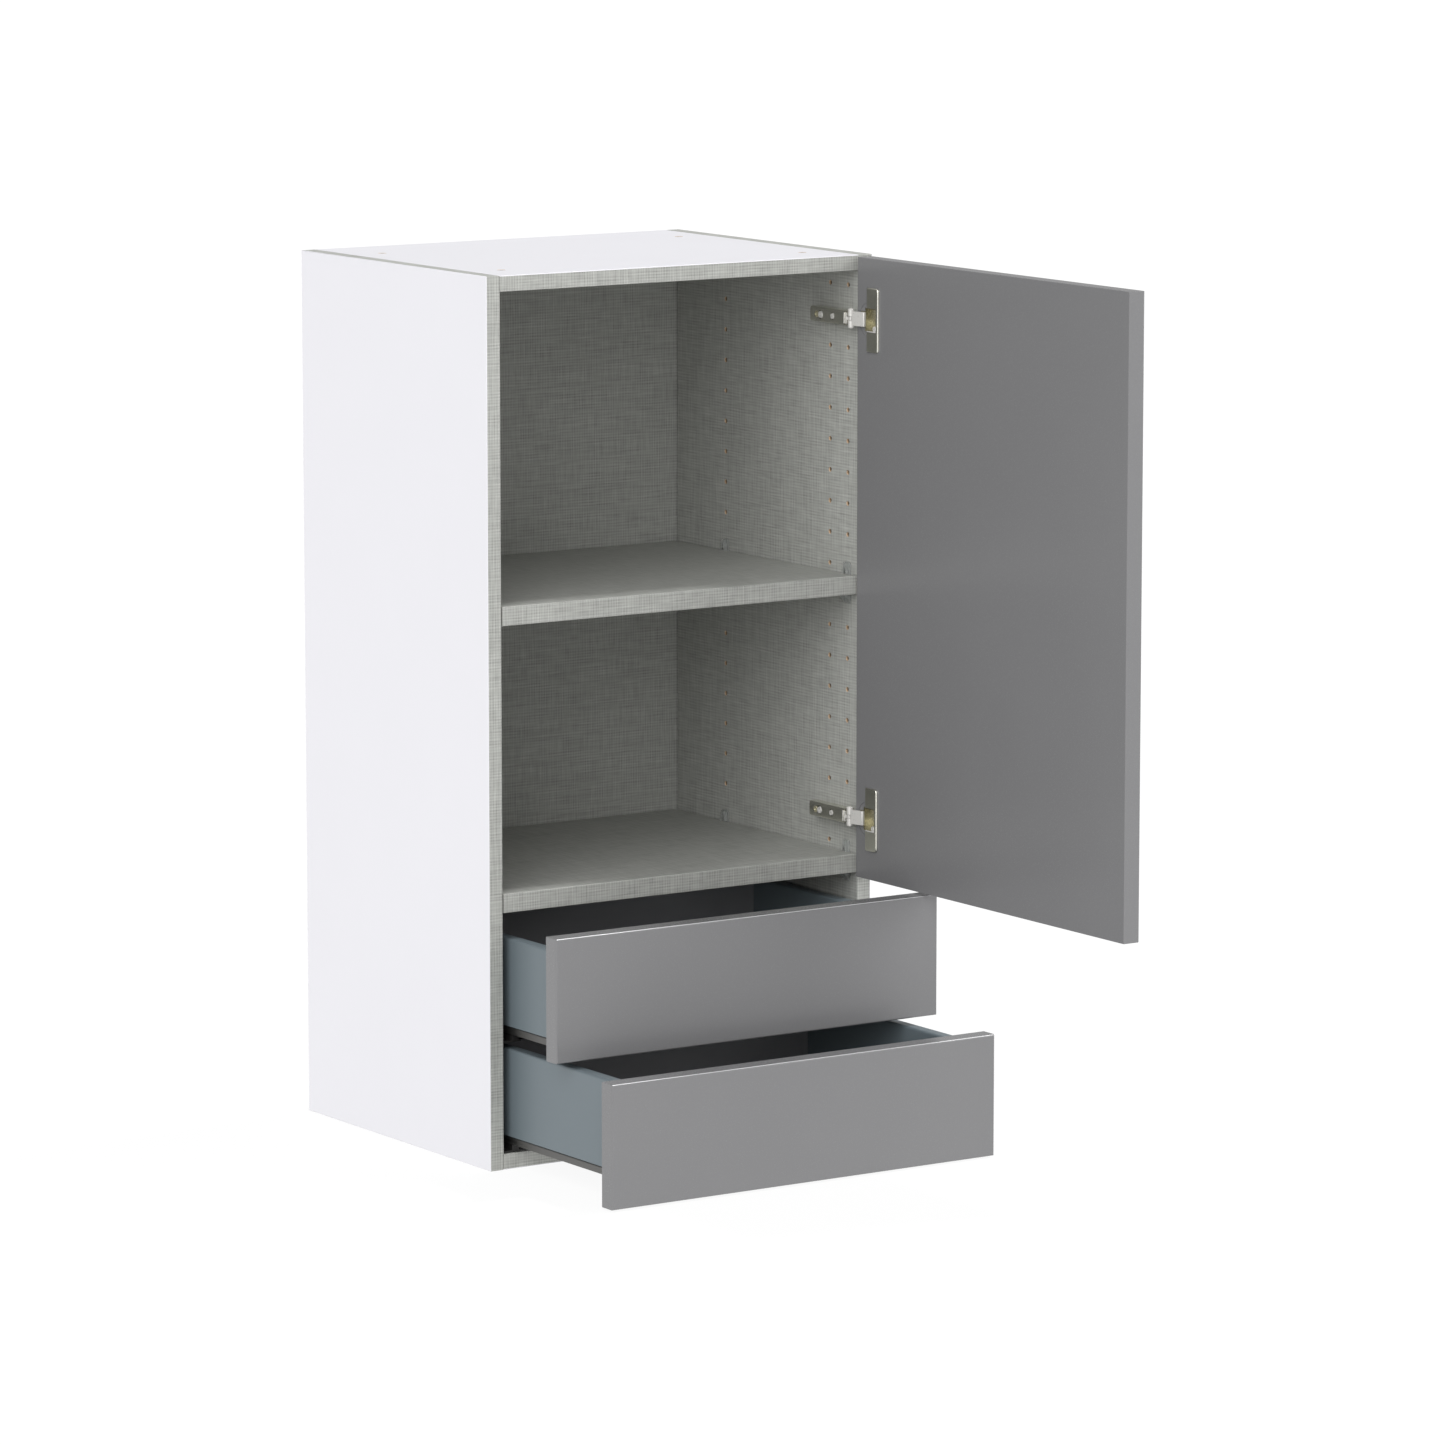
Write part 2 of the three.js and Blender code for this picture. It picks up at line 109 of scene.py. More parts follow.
# %% A helper for any node tree
def add_node(tree, kind, inputs=None, **settings):
    """Adds a node. Each input is another node's socket, which is wired in, or a plain value."""
    made = tree.nodes.new(kind)
    for key, value in settings.items():
        setattr(made, key, value)
    for socket, value in (inputs or {}).items():
        if isinstance(value, bpy.types.NodeSocket):
            tree.links.new(value, made.inputs[socket])
        else:
            made.inputs[socket].default_value = value
    return made


def math_node(tree, operation, first, second=0.0):
    inputs = {0: first, 1: second}
    return add_node(tree, "ShaderNodeMath", inputs, operation=operation).outputs[0]


# %% [markdown]
# ## Finishes
# No real surface is one flat colour. Each finish starts from its mean colour, drifts a little over
# some centimetres, and has a fine relief of its own, such as the orange peel of powder coat. The
# patterns read the object's own coordinates, so they stay put when a door or a drawer moves.


# %% The common base of every finish
def begin_finish(name, roughness, metallic=0.0):
    material = bpy.data.materials.new(name)
    material.use_nodes = True
    tree = material.node_tree
    shader = tree.nodes["Principled BSDF"]
    shader.inputs["Roughness"].default_value = roughness
    shader.inputs["Metallic"].default_value = metallic
    place = add_node(tree, "ShaderNodeTexCoord").outputs["Object"]
    return material, tree, shader, place


def noise(tree, place, per_metre, detail=3.0, seed=0.0):
    """Noise with its own number of cells per metre along X, Y and Z."""
    mapping = add_node(
        tree, "ShaderNodeMapping",
        {"Vector": place, "Scale": per_metre, "Location": (seed, seed * 0.7, seed * 1.3)},
    )
    inputs = {"Vector": mapping.outputs[0], "Scale": 1.0, "Detail": detail}
    return add_node(tree, "ShaderNodeTexNoise", inputs).outputs["Fac"]


def colour_between(tree, factor, dark, light):
    mix = add_node(tree, "ShaderNodeMix", {"Factor": factor}, data_type="RGBA")
    mix.inputs["A"].default_value = (*dark, 1)
    mix.inputs["B"].default_value = (*light, 1)
    return mix.outputs["Result"]


def scaled(colour, by):
    return tuple(min(1.0, channel * by) for channel in colour)


def relief(tree, shader, height, depth, strength=0.6):
    inputs = {"Height": height, "Distance": depth, "Strength": strength}
    bump = add_node(tree, "ShaderNodeBump", inputs)
    tree.links.new(bump.outputs[0], shader.inputs["Normal"])


def vary_colour(tree, shader, pattern, colour, share):
    """The base colour follows a pattern, from `share` darker to `share` lighter than its mean."""
    dark, light = scaled(colour, 1 - share), scaled(colour, 1 + share)
    tree.links.new(colour_between(tree, pattern, dark, light), shader.inputs["Base Color"])


def vary_roughness(tree, shader, pattern, roughness, spread):
    """The roughness follows a pattern, half of `spread` to each side of its mean."""
    varied = math_node(tree, "MULTIPLY_ADD", pattern, spread)
    varied.node.inputs[2].default_value = roughness - spread / 2
    tree.links.new(varied, shader.inputs["Roughness"])


# %% A coated finish
DRIFT_CELLS = (9, 9, 9)
COAT_SPREAD = 0.16


def coated(name, colour, roughness, drift, peel_cells, peel_depth, metallic=0.0):
    """A smooth coating: slow colour drift, fine peel, and roughness that varies with the peel."""
    material, tree, shader, place = begin_finish(name, roughness, metallic)
    vary_colour(tree, shader, noise(tree, place, DRIFT_CELLS, 4, 3.1), colour, drift)
    peel = noise(tree, place, (peel_cells,) * 3, 2, 7.7)
    vary_roughness(tree, shader, peel, roughness, COAT_SPREAD)
    relief(tree, shader, peel, peel_depth)
    return material


# %% [markdown]
# ### Woven linen pattern
# The board's inside wears a printed and embossed weave: fine threads in two directions, each thread a
# little lighter or darker than the next and a few centimetres long. Stretched noise makes such threads:
# coarse along the thread and fine across it. A face shows the threads that lie in it, so each direction
# is weighted by how far the face turns away from that axis.


# %% Make the linen
LINEN_DARK = (0.225, 0.228, 0.213)
LINEN_LIGHT = (0.458, 0.464, 0.437)
THREAD_LENGTH = 26 * MM
THREAD_WIDTH = 1.6 * MM
THREAD_PITCH = 3 * MM
THREAD_RELIEF = 0.12 * MM
RIB_SHARE = 0.30
PATCH_CELLS = (70, 70, 70)
CLOUD_CELLS = (14, 14, 14)
CLOUD_SHARE = 0.12


def woven(name, dark, light, contrast, roughness):
    """Threads along X, Y and Z, with fine ribs that come and go, and clouds over all of them."""
    material, tree, shader, place = begin_finish(name, roughness)
    geometry = add_node(tree, "ShaderNodeNewGeometry")
    facing = add_node(
        tree, "ShaderNodeVectorMath", {0: geometry.outputs["Normal"]}, operation="ABSOLUTE"
    )
    facing = add_node(tree, "ShaderNodeSeparateXYZ", {0: facing.outputs[0]})
    across = add_node(tree, "ShaderNodeSeparateXYZ", {0: place})
    patchy = noise(tree, place, PATCH_CELLS, 2, 9.1)
    weave = 0.0
    for axis in range(3):
        cells = [1 / THREAD_WIDTH] * 3
        cells[axis] = 1 / THREAD_LENGTH
        threads = math_node(tree, "SUBTRACT", noise(tree, place, cells, 1.5, axis * 5.3), 0.5)
        share = math_node(tree, "SUBTRACT", 1.0, facing.outputs[axis])
        threads = math_node(tree, "MULTIPLY", threads, share)
        weave = math_node(tree, "ADD", threads, weave)
        turns = math_node(tree, "MULTIPLY", across.outputs[axis], 2 * math.pi / THREAD_PITCH)
        rib = math_node(tree, "MULTIPLY", math_node(tree, "SINE", turns), share)
        rib = math_node(tree, "MULTIPLY", rib, math_node(tree, "MULTIPLY", patchy, RIB_SHARE))
        weave = math_node(tree, "ADD", rib, weave)
    cloud = math_node(tree, "SUBTRACT", noise(tree, place, CLOUD_CELLS, 3, 2.2), 0.5)
    tone = math_node(tree, "MULTIPLY_ADD", weave, contrast)
    tree.links.new(math_node(tree, "MULTIPLY", cloud, CLOUD_SHARE), tone.node.inputs[2])
    offset = math_node(tree, "ADD", tone, 0.5)
    offset.node.use_clamp = True
    tree.links.new(colour_between(tree, offset, dark, light), shader.inputs["Base Color"])
    relief(tree, shader, weave, THREAD_RELIEF, 0.5)
    return material


linen = woven("linen_board", LINEN_DARK, LINEN_LIGHT, contrast=0.8, roughness=0.55)
print("linen threads are", round(THREAD_WIDTH / MM, 1), "mm wide, its ribs", round(THREAD_PITCH / MM, 1))

# %% [markdown]
# ### Particle board
# Where a hole is drilled, the brown core shows. Voronoi cells stand for its pressed chips, each with a
# tone of its own. The deep part of a hole is painted darker as painted shade, so a hole shows a light lip
# and a dark middle.


# %% Make the board core
CHIP_CELLS = 900.0
CHIP_TONES = (700, 700, 700)
CHIP_RELIEF = 0.2 * MM
HOLE_SHADE_SHARE = 0.12


def chipped(name, dark, light, mouth, shade_reach):
    """`mouth` is how far out in X the holes open; from there painted shade darkens them over the given
    reach.
    """
    material, tree, shader, place = begin_finish(name, 0.85)
    chips = add_node(tree, "ShaderNodeTexVoronoi", {"Vector": place, "Scale": CHIP_CELLS})
    tone = noise(tree, chips.outputs["Position"], CHIP_TONES, 2)
    out = add_node(tree, "ShaderNodeSeparateXYZ", {0: place}).outputs[0]
    # painted shade: the core darkens with depth past the hole's mouth, down to a dark share of its colour
    deep = math_node(tree, "SUBTRACT", math_node(tree, "ABSOLUTE", out), mouth)
    deep = math_node(tree, "DIVIDE", deep, shade_reach)
    deep.node.use_clamp = True
    unshaded_chips = colour_between(tree, tone, dark, light)
    mix = add_node(tree, "ShaderNodeMix", {"Factor": deep, "A": unshaded_chips}, data_type="RGBA")
    mix.inputs["B"].default_value = (*scaled(dark, HOLE_SHADE_SHARE), 1)
    tree.links.new(mix.outputs["Result"], shader.inputs["Base Color"])
    relief(tree, shader, chips.outputs["Distance"], CHIP_RELIEF)
    return material


HOLE_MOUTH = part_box("side_right")[0].x
board_core = chipped("board_core", (0.56, 0.39, 0.25), (0.92, 0.70, 0.48), HOLE_MOUTH, 3.4 * MM)

# %% [markdown]
# ### Coated and plated finishes
# The white melamine, the grey fronts, the powder-coated steel and the charcoal drawer bottoms are one
# recipe with different numbers. Plated metal has streaks along its length, as rolled strip has, and
# nickel is smoother than zinc. The runners' inner members are painted near black as painted shade.


# %% Make the coated finishes
white_board = coated("white_board", (0.680, 0.676, 0.708), 0.42, 0.012, 1500, 0.006 * MM)
front_grey = coated("front_grey", (0.170, 0.170, 0.174), 0.25, 0.03, 1300, 0.006 * MM)
drawer_steel = coated("drawer_steel", (0.136, 0.166, 0.183), 0.36, 0.03, 1100, 0.01 * MM, 0.15)
# painted highlight: a pale copy of the grey front, for one strip of each drawer front's top edge
front_highlight = coated("front_highlight", (0.62, 0.62, 0.63), 0.22, 0.03, 1300, 0.001 * MM)
charcoal = coated("charcoal_board", (0.215, 0.215, 0.225), 0.42, 0.08, 1400, 0.02 * MM)


# %% Make the plated and clear finishes
ROLLED_DRIFT = 0.1
ROLLED_SPREAD = 0.14
ROLLED_RELIEF = 0.01 * MM
FLOW_CELLS = (160, 160, 420)
FLOW_RELIEF = 0.05 * MM
CLEAR_DARK = (0.48, 0.50, 0.48)
CLEAR_LIGHT = (0.70, 0.72, 0.70)
CLEAR_SHARE = 0.62
CLEAR_IOR = 1.46


def plated(name, colour, roughness, streaks, metallic=1.0):
    """Plated strip: `streaks` is the number of cells per metre along X, Y and Z."""
    material, tree, shader, place = begin_finish(name, roughness, metallic)
    rolled = noise(tree, place, streaks, 3, 1.9)
    vary_colour(tree, shader, rolled, colour, ROLLED_DRIFT)
    vary_roughness(tree, shader, rolled, roughness, ROLLED_SPREAD)
    relief(tree, shader, rolled, ROLLED_RELIEF, 0.2)
    return material


def clear_moulding(name):
    """Clear plastic, a little milky, with faint flow marks from the mould."""
    material, tree, shader, place = begin_finish(name, 0.34)
    flow = noise(tree, place, FLOW_CELLS, 3, 4.4)
    tree.links.new(
        colour_between(tree, flow, CLEAR_DARK, CLEAR_LIGHT), shader.inputs["Base Color"]
    )
    shader.inputs["Transmission Weight"].default_value = CLEAR_SHARE
    shader.inputs["IOR"].default_value = CLEAR_IOR
    relief(tree, shader, flow, FLOW_RELIEF)
    return material


runner_steel = plated("runner_steel", (0.165, 0.163, 0.158), 0.42, (500, 12, 500))
# painted shade: a near-black plated finish for the runners' inner members, where the carcass shades them
shade_dark_runner = plated("shade_dark_runner", (0.030, 0.029, 0.028), 0.5, (500, 12, 500), 0.5)
nickel = plated("hinge_nickel", (0.78, 0.77, 0.69), 0.24, (60, 20, 60), 0.95)
brass_spring = coated("brass_spring", (0.50, 0.47, 0.33), 0.26, 0.15, 900, 0.01 * MM, 0.6)
link_nickel = coated("link_nickel", (0.61, 0.60, 0.575), 0.30, 0.04, 700, 0.01 * MM, 0.25)
zinc = plated("connector_zinc", (0.62, 0.62, 0.63), 0.42, (260, 260, 260))
clear_plastic = clear_moulding("clear_plastic")
print("finishes:", len(bpy.data.materials))

# %% [markdown]
# ## Shaping helpers
# Most pieces are boards with eased edges, outlines given a length, or turned shapes. One helper for each
# kind draws it as a closed mesh, and another rounds the corners of an outline.


# %% Boards with eased edges
NEAR = 1e-5
SQUARE_ENOUGH = 1.4
SOFT_SEGMENTS = 5


def in_plane(edge, axis, value, reach=0.0):
    """Whether an edge lies in a plane square to an axis, or no further than `reach` from it."""
    return all(abs(v.co[axis] - value) < reach + NEAR for v in edge.verts)


def ease(shape, edges, radius, segments):
    bmesh.ops.bevel(
        shape, geom=edges, offset=radius, segments=segments, profile=0.5, affect="EDGES",
        clamp_overlap=True,
    )


def board(low, high, easing, segments=2, soft_face=None, soft_radius=0.0):
    """A board. `soft_face` is (axis, place) of a face whose four edges take a larger radius."""
    low, high = Vector(low), Vector(high)
    shape = bmesh.new()
    size = Matrix.Diagonal(high - low).to_4x4()
    bmesh.ops.create_cube(shape, size=1, matrix=Matrix.Translation((low + high) / 2) @ size)
    if soft_face:
        ease(shape, [e for e in shape.edges if in_plane(e, *soft_face)], soft_radius, SOFT_SEGMENTS)
    rest = [e for e in shape.edges if not soft_face or not in_plane(e, *soft_face, soft_radius)]
    ease(shape, [e for e in rest if e.calc_face_angle(0) > SQUARE_ENOUGH], easing, segments)
    return shape


# %% Outlines and turned shapes
def rounded(points, radii, steps=4):
    """The outline through `points`, each corner rounded by its radius with a short curve."""
    outline = []
    count = len(points)
    for index, (point, radius) in enumerate(zip(points, radii)):
        corner = Vector(point)
        if radius <= 0:
            outline.append(corner)
            continue
        before = corner + (Vector(points[index - 1]) - corner).normalized() * radius
        after = corner + (Vector(points[(index + 1) % count]) - corner).normalized() * radius
        for step in range(steps + 1):
            t = step / steps
            outline.append(before * (1 - t) ** 2 + corner * 2 * t * (1 - t) + after * t ** 2)
    return outline


def rectangle(u, v):
    return [(u[0], v[0]), (u[1], v[0]), (u[1], v[1]), (u[0], v[1])]


ALONG = {
    "x": lambda u, v, w: (w, u, v),
    "y": lambda u, v, w: (u, w, v),
    "z": lambda u, v, w: (u, v, w),
}


def prism(outline, axis, start, end):
    """A solid: the outline, drawn square to an axis, runs from start to end along it."""
    shape = bmesh.new()
    rings = [[shape.verts.new(ALONG[axis](u, v, w)) for u, v in outline] for w in (start, end)]
    shape.faces.new(rings[0])
    shape.faces.new(rings[1][::-1])
    for index in range(len(outline)):
        here, there = index - 1, index
        shape.faces.new((rings[0][here], rings[0][there], rings[1][there], rings[1][here]))
    bmesh.ops.recalc_face_normals(shape, faces=shape.faces)
    return shape


def turned(profile, centre, axis, steps=32):
    """A turned solid: (radius, height) pairs that start and end on the axis."""
    shape = bmesh.new()
    rings = []
    for radius, height in profile:
        count = 1 if radius == 0 else steps
        angles = [2 * math.pi * step / steps for step in range(count)]
        rings.append([
            shape.verts.new((radius * math.cos(a), radius * math.sin(a), height)) for a in angles
        ])
    for lower, upper in zip(rings, rings[1:]):
        for step in range(steps):
            following = (step + 1) % steps
            corners = [
                lower[step % len(lower)], lower[following % len(lower)],
                upper[following % len(upper)], upper[step % len(upper)],
            ]
            shape.faces.new(list(dict.fromkeys(corners)))
    turn = Vector(axis).to_track_quat("Z", "Y").to_matrix().to_4x4()
    shape.transform(Matrix.Translation(centre) @ turn)
    bmesh.ops.recalc_face_normals(shape, faces=shape.faces)
    return shape


# %% [markdown]
# ## Making a piece of the cabinet
# A finished shape becomes an object at the origin, with its place in its mesh. It then rides on the
# body of the node that it stands for, so it moves as that node does.


# %% From shape to piece
def as_object(name, shapes, *materials):
    whole = bmesh.new()
    for shape in shapes:
        scrap = bpy.data.meshes.new("scrap")
        shape.to_mesh(scrap)
        shape.free()
        whole.from_mesh(scrap)
        bpy.data.meshes.remove(scrap)
    mesh = bpy.data.meshes.new(name)
    whole.to_mesh(mesh)
    whole.free()
    for material in materials:
        mesh.materials.append(material)
    made = bpy.data.objects.new(name, mesh)
    bpy.context.scene.collection.objects.link(made)
    return made


def settle(made):
    """Turns live modifiers into a plain mesh and removes them."""
    graph = bpy.context.evaluated_depsgraph_get()
    graph.update()
    mesh = bpy.data.meshes.new_from_object(made.evaluated_get(graph), depsgraph=graph)
    made.modifiers.clear()
    made.data = mesh
    return made


NARROW = 4 * MM


def is_narrow(face):
    return face.calc_area() / (face.calc_perimeter() / 2) < NARROW


def smooth_round(made, degrees=34):
    """Shades narrow strips of curved stretches smooth. Broad faces keep their own flat shading."""
    mesh = made.data
    mesh.shade_smooth()
    shape = bmesh.new()
    shape.from_mesh(mesh)
    for edge in shape.edges:
        gentle = edge.calc_face_angle(0) < math.radians(degrees)
        edge.smooth = gentle and all(is_narrow(face) for face in edge.link_faces)
    shape.to_mesh(mesh)
    shape.free()
    return made


def stand_for(made, slot, *node_names):
    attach(made, cad[node_names[0]]["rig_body"])
    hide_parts(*node_names)
    return made


def trim(made, body):
    """A small extra piece that rides on a body and stands for no node of its own."""
    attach(made, body)
    return made


# %% [markdown]
# ## Drilling with Geometry Nodes
# System holes run up each side on one pitch, and hinge cups and cam connectors sit in bores too. A line
# of points carries one cutter each, and a boolean takes them out of the board. The cutter brings the
# core material into the hole. The tree also gives a skin of its own to the faces that look one way, as a
# board has that is white outside. One tree serves every board, and only its named inputs change.


# %% A tree for any row of bores
def new_tree(name, inputs):
    tree = bpy.data.node_groups.new(name, "GeometryNodeTree")
    sockets = [("Geometry", "Geometry"), *inputs]
    for label, kind in sockets:
        tree.interface.new_socket(label, in_out="INPUT", socket_type="NodeSocket" + kind)
    tree.interface.new_socket("Geometry", in_out="OUTPUT", socket_type="NodeSocketGeometry")
    return tree, add_node(tree, "NodeGroupInput").outputs


def row_of_instances(tree, given, instance):
    """Instances along a line of points, each turned so that its own Z follows the Axis input."""
    line = add_node(tree, "GeometryNodeMeshLine", {
        "Count": given["Count"], "Start Location": given["Start"], "Offset": given["Step"],
    })
    turn = add_node(tree, "FunctionNodeAlignRotationToVector", {"Vector": given["Axis"]}, axis="Z")
    placed = add_node(tree, "GeometryNodeInstanceOnPoints", {
        "Points": line.outputs[0], "Instance": instance, "Rotation": turn.outputs[0],
    })
    return add_node(tree, "GeometryNodeRealizeInstances", {0: placed.outputs[0]}).outputs[0]


def end_tree(tree, geometry, material, selection=None):
    inputs = {"Geometry": geometry, "Material": material}
    if selection:
        inputs["Selection"] = selection
    painted = add_node(tree, "GeometryNodeSetMaterial", inputs)
    add_node(tree, "NodeGroupOutput", {0: painted.outputs[0]})


ROW_INPUTS = [("Start", "Vector"), ("Step", "Vector"), ("Count", "Int"), ("Axis", "Vector")]
BORE_SIDES = 24
SKIN_TILT = 0.3


def bores_tree():
    tree, given = new_tree("row_of_bores", [
        *ROW_INPUTS, ("Radius", "Float"), ("Depth", "Float"), ("Core", "Material"),
        ("Skin", "Material"), ("Skin side", "Vector"),
    ])
    length = math_node(tree, "MULTIPLY", given["Depth"], 2.0)
    cutter = add_node(tree, "GeometryNodeMeshCylinder", {
        "Vertices": BORE_SIDES, "Radius": given["Radius"], "Depth": length,
    })
    lined = add_node(
        tree, "GeometryNodeSetMaterial", {0: cutter.outputs[0], "Material": given["Core"]}
    )
    cutters = row_of_instances(tree, given, lined.outputs[0])
    drilled = add_node(tree, "GeometryNodeMeshBoolean", {
        "Mesh 1": given["Geometry"], "Mesh 2": cutters,
    }, operation="DIFFERENCE", solver="EXACT")
    normal = add_node(tree, "GeometryNodeInputNormal").outputs[0]
    outward = add_node(
        tree, "ShaderNodeVectorMath", {0: normal, 1: given["Skin side"]}, operation="DOT_PRODUCT"
    )
    skin = add_node(
        tree, "FunctionNodeCompare", {0: outward.outputs["Value"], 1: SKIN_TILT},
        operation="GREATER_THAN",
    )
    whole = add_node(tree, "GeometryNodeRealizeInstances", {0: drilled.outputs[0]})
    end_tree(tree, whole.outputs[0], given["Skin"], skin.outputs[0])
    return tree


def use_tree(made, tree, values):
    """Adds the tree as a modifier and sets its inputs by their sockets' identifiers."""
    modifier = made.modifiers.new(tree.name, "NODES")
    modifier.node_group = tree
    for socket in tree.interface.items_tree:
        if socket.in_out == "INPUT" and socket.name in values:
            modifier[socket.identifier] = values[socket.name]
    return made


row_of_bores = bores_tree()


def drill(made, start, step, count, axis, radius, depth, core, skin_side=(0, 0, 0)):
    """Bores reach `depth` to both sides of the line. Faces that look to `skin_side` turn white."""
    return use_tree(made, row_of_bores, {
        "Start": start, "Step": step, "Count": count, "Axis": axis, "Radius": radius,
        "Depth": depth, "Core": core, "Skin": white_board, "Skin side": skin_side,
    })


def carve(made, low, high):
    """Cuts a rectangular groove or window with a boolean modifier."""
    cutter = as_object("cutter", [board(low, high, 0.05 * MM, 1)], *made.data.materials)
    modifier = made.modifiers.new("groove", "BOOLEAN")
    modifier.object = cutter
    modifier.solver = "EXACT"
    settle(made)
    bpy.data.objects.remove(cutter)
    return made


print("row_of_bores has", len(row_of_bores.nodes), "nodes")

# %% [markdown]
# ## The carcass boards
# The sides run the full height, and the top and bottom fit between them. All four are grooved for the
# back. The outer faces are white, and the inner faces and every edge are linen. The edges are eased by
# under a millimetre, which leaves the thin light line that a banded edge catches.

# %% Cut and drill the two sides
HOLE_PITCH = 31.75 * MM
HOLE_RADIUS = 2.5 * MM
HOLE_DEPTH = 12 * MM
COLUMNS = {19.05 * MM: 20, 50.8 * MM: 20, 242 * MM: 19}
HINGE_ROW = 2
EASING = 0.8 * MM
GROOVE = 6 * MM
GROOVE_GAP = 2.2 * MM
FIT = 0.3 * MM

carcass = Vector(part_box("side_left")[0]), Vector(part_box("side_right")[1])
front_plane = carcass[0].y
inner_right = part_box("side_right")[0].x
plate_low, plate_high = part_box("hinge_plate_lower")
pin_line = (plate_low.z + plate_high.z) / 2 - HINGE_ROW * HOLE_PITCH
back_low, back_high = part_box("back_panel")
hands = {"left": -1, "right": 1}
storeys = ("lower", "upper")


def groove_box(side=None, level=None):
    """The space cut for the back: it runs along the inner face of one board."""
    low, high = back_low - Vector((FIT, GROOVE_GAP, FIT)), back_high + Vector((FIT,) * 3)
    if side:
        deepest = hands[side] * (inner_right + GROOVE)
        low.x, high.x = sorted((deepest, hands[side] * (inner_right - MM)))
    if level:
        low.x, high.x = low.x * 2, high.x * 2
    return low, high


for side, hand in hands.items():
    low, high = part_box(f"side_{side}")
    made = as_object(f"{side}_side_board", [board(low, high, EASING)], linen)
    carve(made, *groove_box(side=side))
    for behind, rows in COLUMNS.items():
        start = (hand * inner_right, front_plane + behind, pin_line)
        drill(made, start, (0, 0, HOLE_PITCH), rows, (1, 0, 0), HOLE_RADIUS, HOLE_DEPTH,
              board_core, (hand, 0, 0))
    stand_for(smooth_round(settle(made)), "carcass_board", f"side_{side}")
    print(made.name, "has", len(made.data.polygons), "faces")

# %% Cut and drill the top and bottom
CAM_RADIUS = 4 * MM
CAM_CLEARANCE = 0.15 * MM
CAM_DEPTH = 12.5 * MM

for level, up in {"bottom": -1, "top": 1}.items():
    low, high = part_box(f"{level}_panel")
    made = as_object(f"{level}_board", [board(low, high, EASING)], linen)
    carve(made, *groove_box(level=level))
    for end in ("front", "rear"):
        cams = [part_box(f"cam_connector_{level}_{end}_{side}") for side in hands]
        left_x, right_x = cams[0][1].x - CAM_RADIUS, cams[1][0].x + CAM_RADIUS
        middle_y = (cams[0][0].y + cams[0][1].y) / 2
        face = high.z if up > 0 else low.z
        drill(made, (left_x, middle_y, face), (right_x - left_x, 0, 0), 2, (0, 0, 1),
              CAM_RADIUS + CAM_CLEARANCE, CAM_DEPTH + CAM_CLEARANCE, board_core, (0, 0, up))
    stand_for(smooth_round(settle(made)), "carcass_board", f"{level}_panel")
    print(made.name, "has", len(made.data.polygons), "faces")

# %% Finish the shelves and the pieces that keep their CAD shape
SHELF_EASING = 0.6 * MM

for name in ("divider_shelf", "adjustable_shelf"):
    made = as_object(f"{name}_board", [board(*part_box(name), SHELF_EASING, 3)], linen)
    stand_for(smooth_round(made), "linen_board", name)


def repaint(node_name, material):
    """A CAD node that stays gets its finish on the object, and its mesh is left as it is."""
    node = cad[node_name]
    for place in node.material_slots:
        place.link = "OBJECT"
        place.material = material


repaint("back_panel", linen)
for level in ("bottom", "top"):
    repaint(f"hanging_rail_{level}", white_board)
for storey in storeys:
    repaint(f"{storey}_drawer_back", charcoal)
    repaint(f"hinge_plate_{storey}", nickel)

# %% [markdown]
# ## Screw and cam heads with Geometry Nodes
# Every fastener head is a low cone with a cross drive cut into it. A second tree sets such heads in a
# row. It makes the cam connectors, the hinge screws and the runner screws.


# %% A tree for any row of heads
HEAD_SIDES = 28
RIM_SHARE = 0.86
DRIVE_REACH = 1.15


def heads_tree():
    tree, given = new_tree("row_of_heads", [
        *ROW_INPUTS, ("Radius", "Float"), ("Height", "Float"), ("Drive", "Float"),
        ("Drive depth", "Float"), ("Metal", "Material"),
    ])
    rim = math_node(tree, "MULTIPLY", given["Radius"], RIM_SHARE)
    head = add_node(tree, "GeometryNodeMeshCone", {
        "Vertices": HEAD_SIDES, "Radius Top": rim, "Radius Bottom": given["Radius"],
        "Depth": given["Height"],
    }).outputs[0]
    wide = math_node(tree, "MULTIPLY", given["Radius"], DRIVE_REACH)
    deep = math_node(tree, "MULTIPLY", given["Drive depth"], 2.0)
    up = add_node(tree, "ShaderNodeCombineXYZ", {2: given["Height"]}).outputs[0]
    for sides in ((wide, given["Drive"]), (given["Drive"], wide)):
        size = add_node(tree, "ShaderNodeCombineXYZ", {0: sides[0], 1: sides[1], 2: deep})
        bar = add_node(tree, "GeometryNodeMeshCube", {0: size.outputs[0]})
        raised = add_node(tree, "GeometryNodeTransform", {0: bar.outputs[0], "Translation": up})
        head = add_node(tree, "GeometryNodeMeshBoolean", {
            "Mesh 1": head, "Mesh 2": raised.outputs[0],
        }, operation="DIFFERENCE", solver="EXACT").outputs[0]
    end_tree(tree, row_of_instances(tree, given, head), given["Metal"])
    return tree


row_of_heads = heads_tree()


def heads(name, start, step, count, axis, radius, height, metal, drive=0.5, drive_depth=0.6):
    """A row of heads as one plain mesh. `drive` and `drive_depth` are shares of radius and height."""
    made = as_object(name, [], metal)
    use_tree(made, row_of_heads, {
        "Start": start, "Step": step, "Count": count, "Axis": axis, "Radius": radius,
        "Height": height, "Drive": radius * drive, "Drive depth": height * drive_depth,
        "Metal": metal,
    })
    return smooth_round(settle(made))


# %% Set the cam connectors
CAM_HEAD_HEIGHT = 1.6 * MM
CAM_DRIVE = {"drive": 0.3, "drive_depth": 0.5}

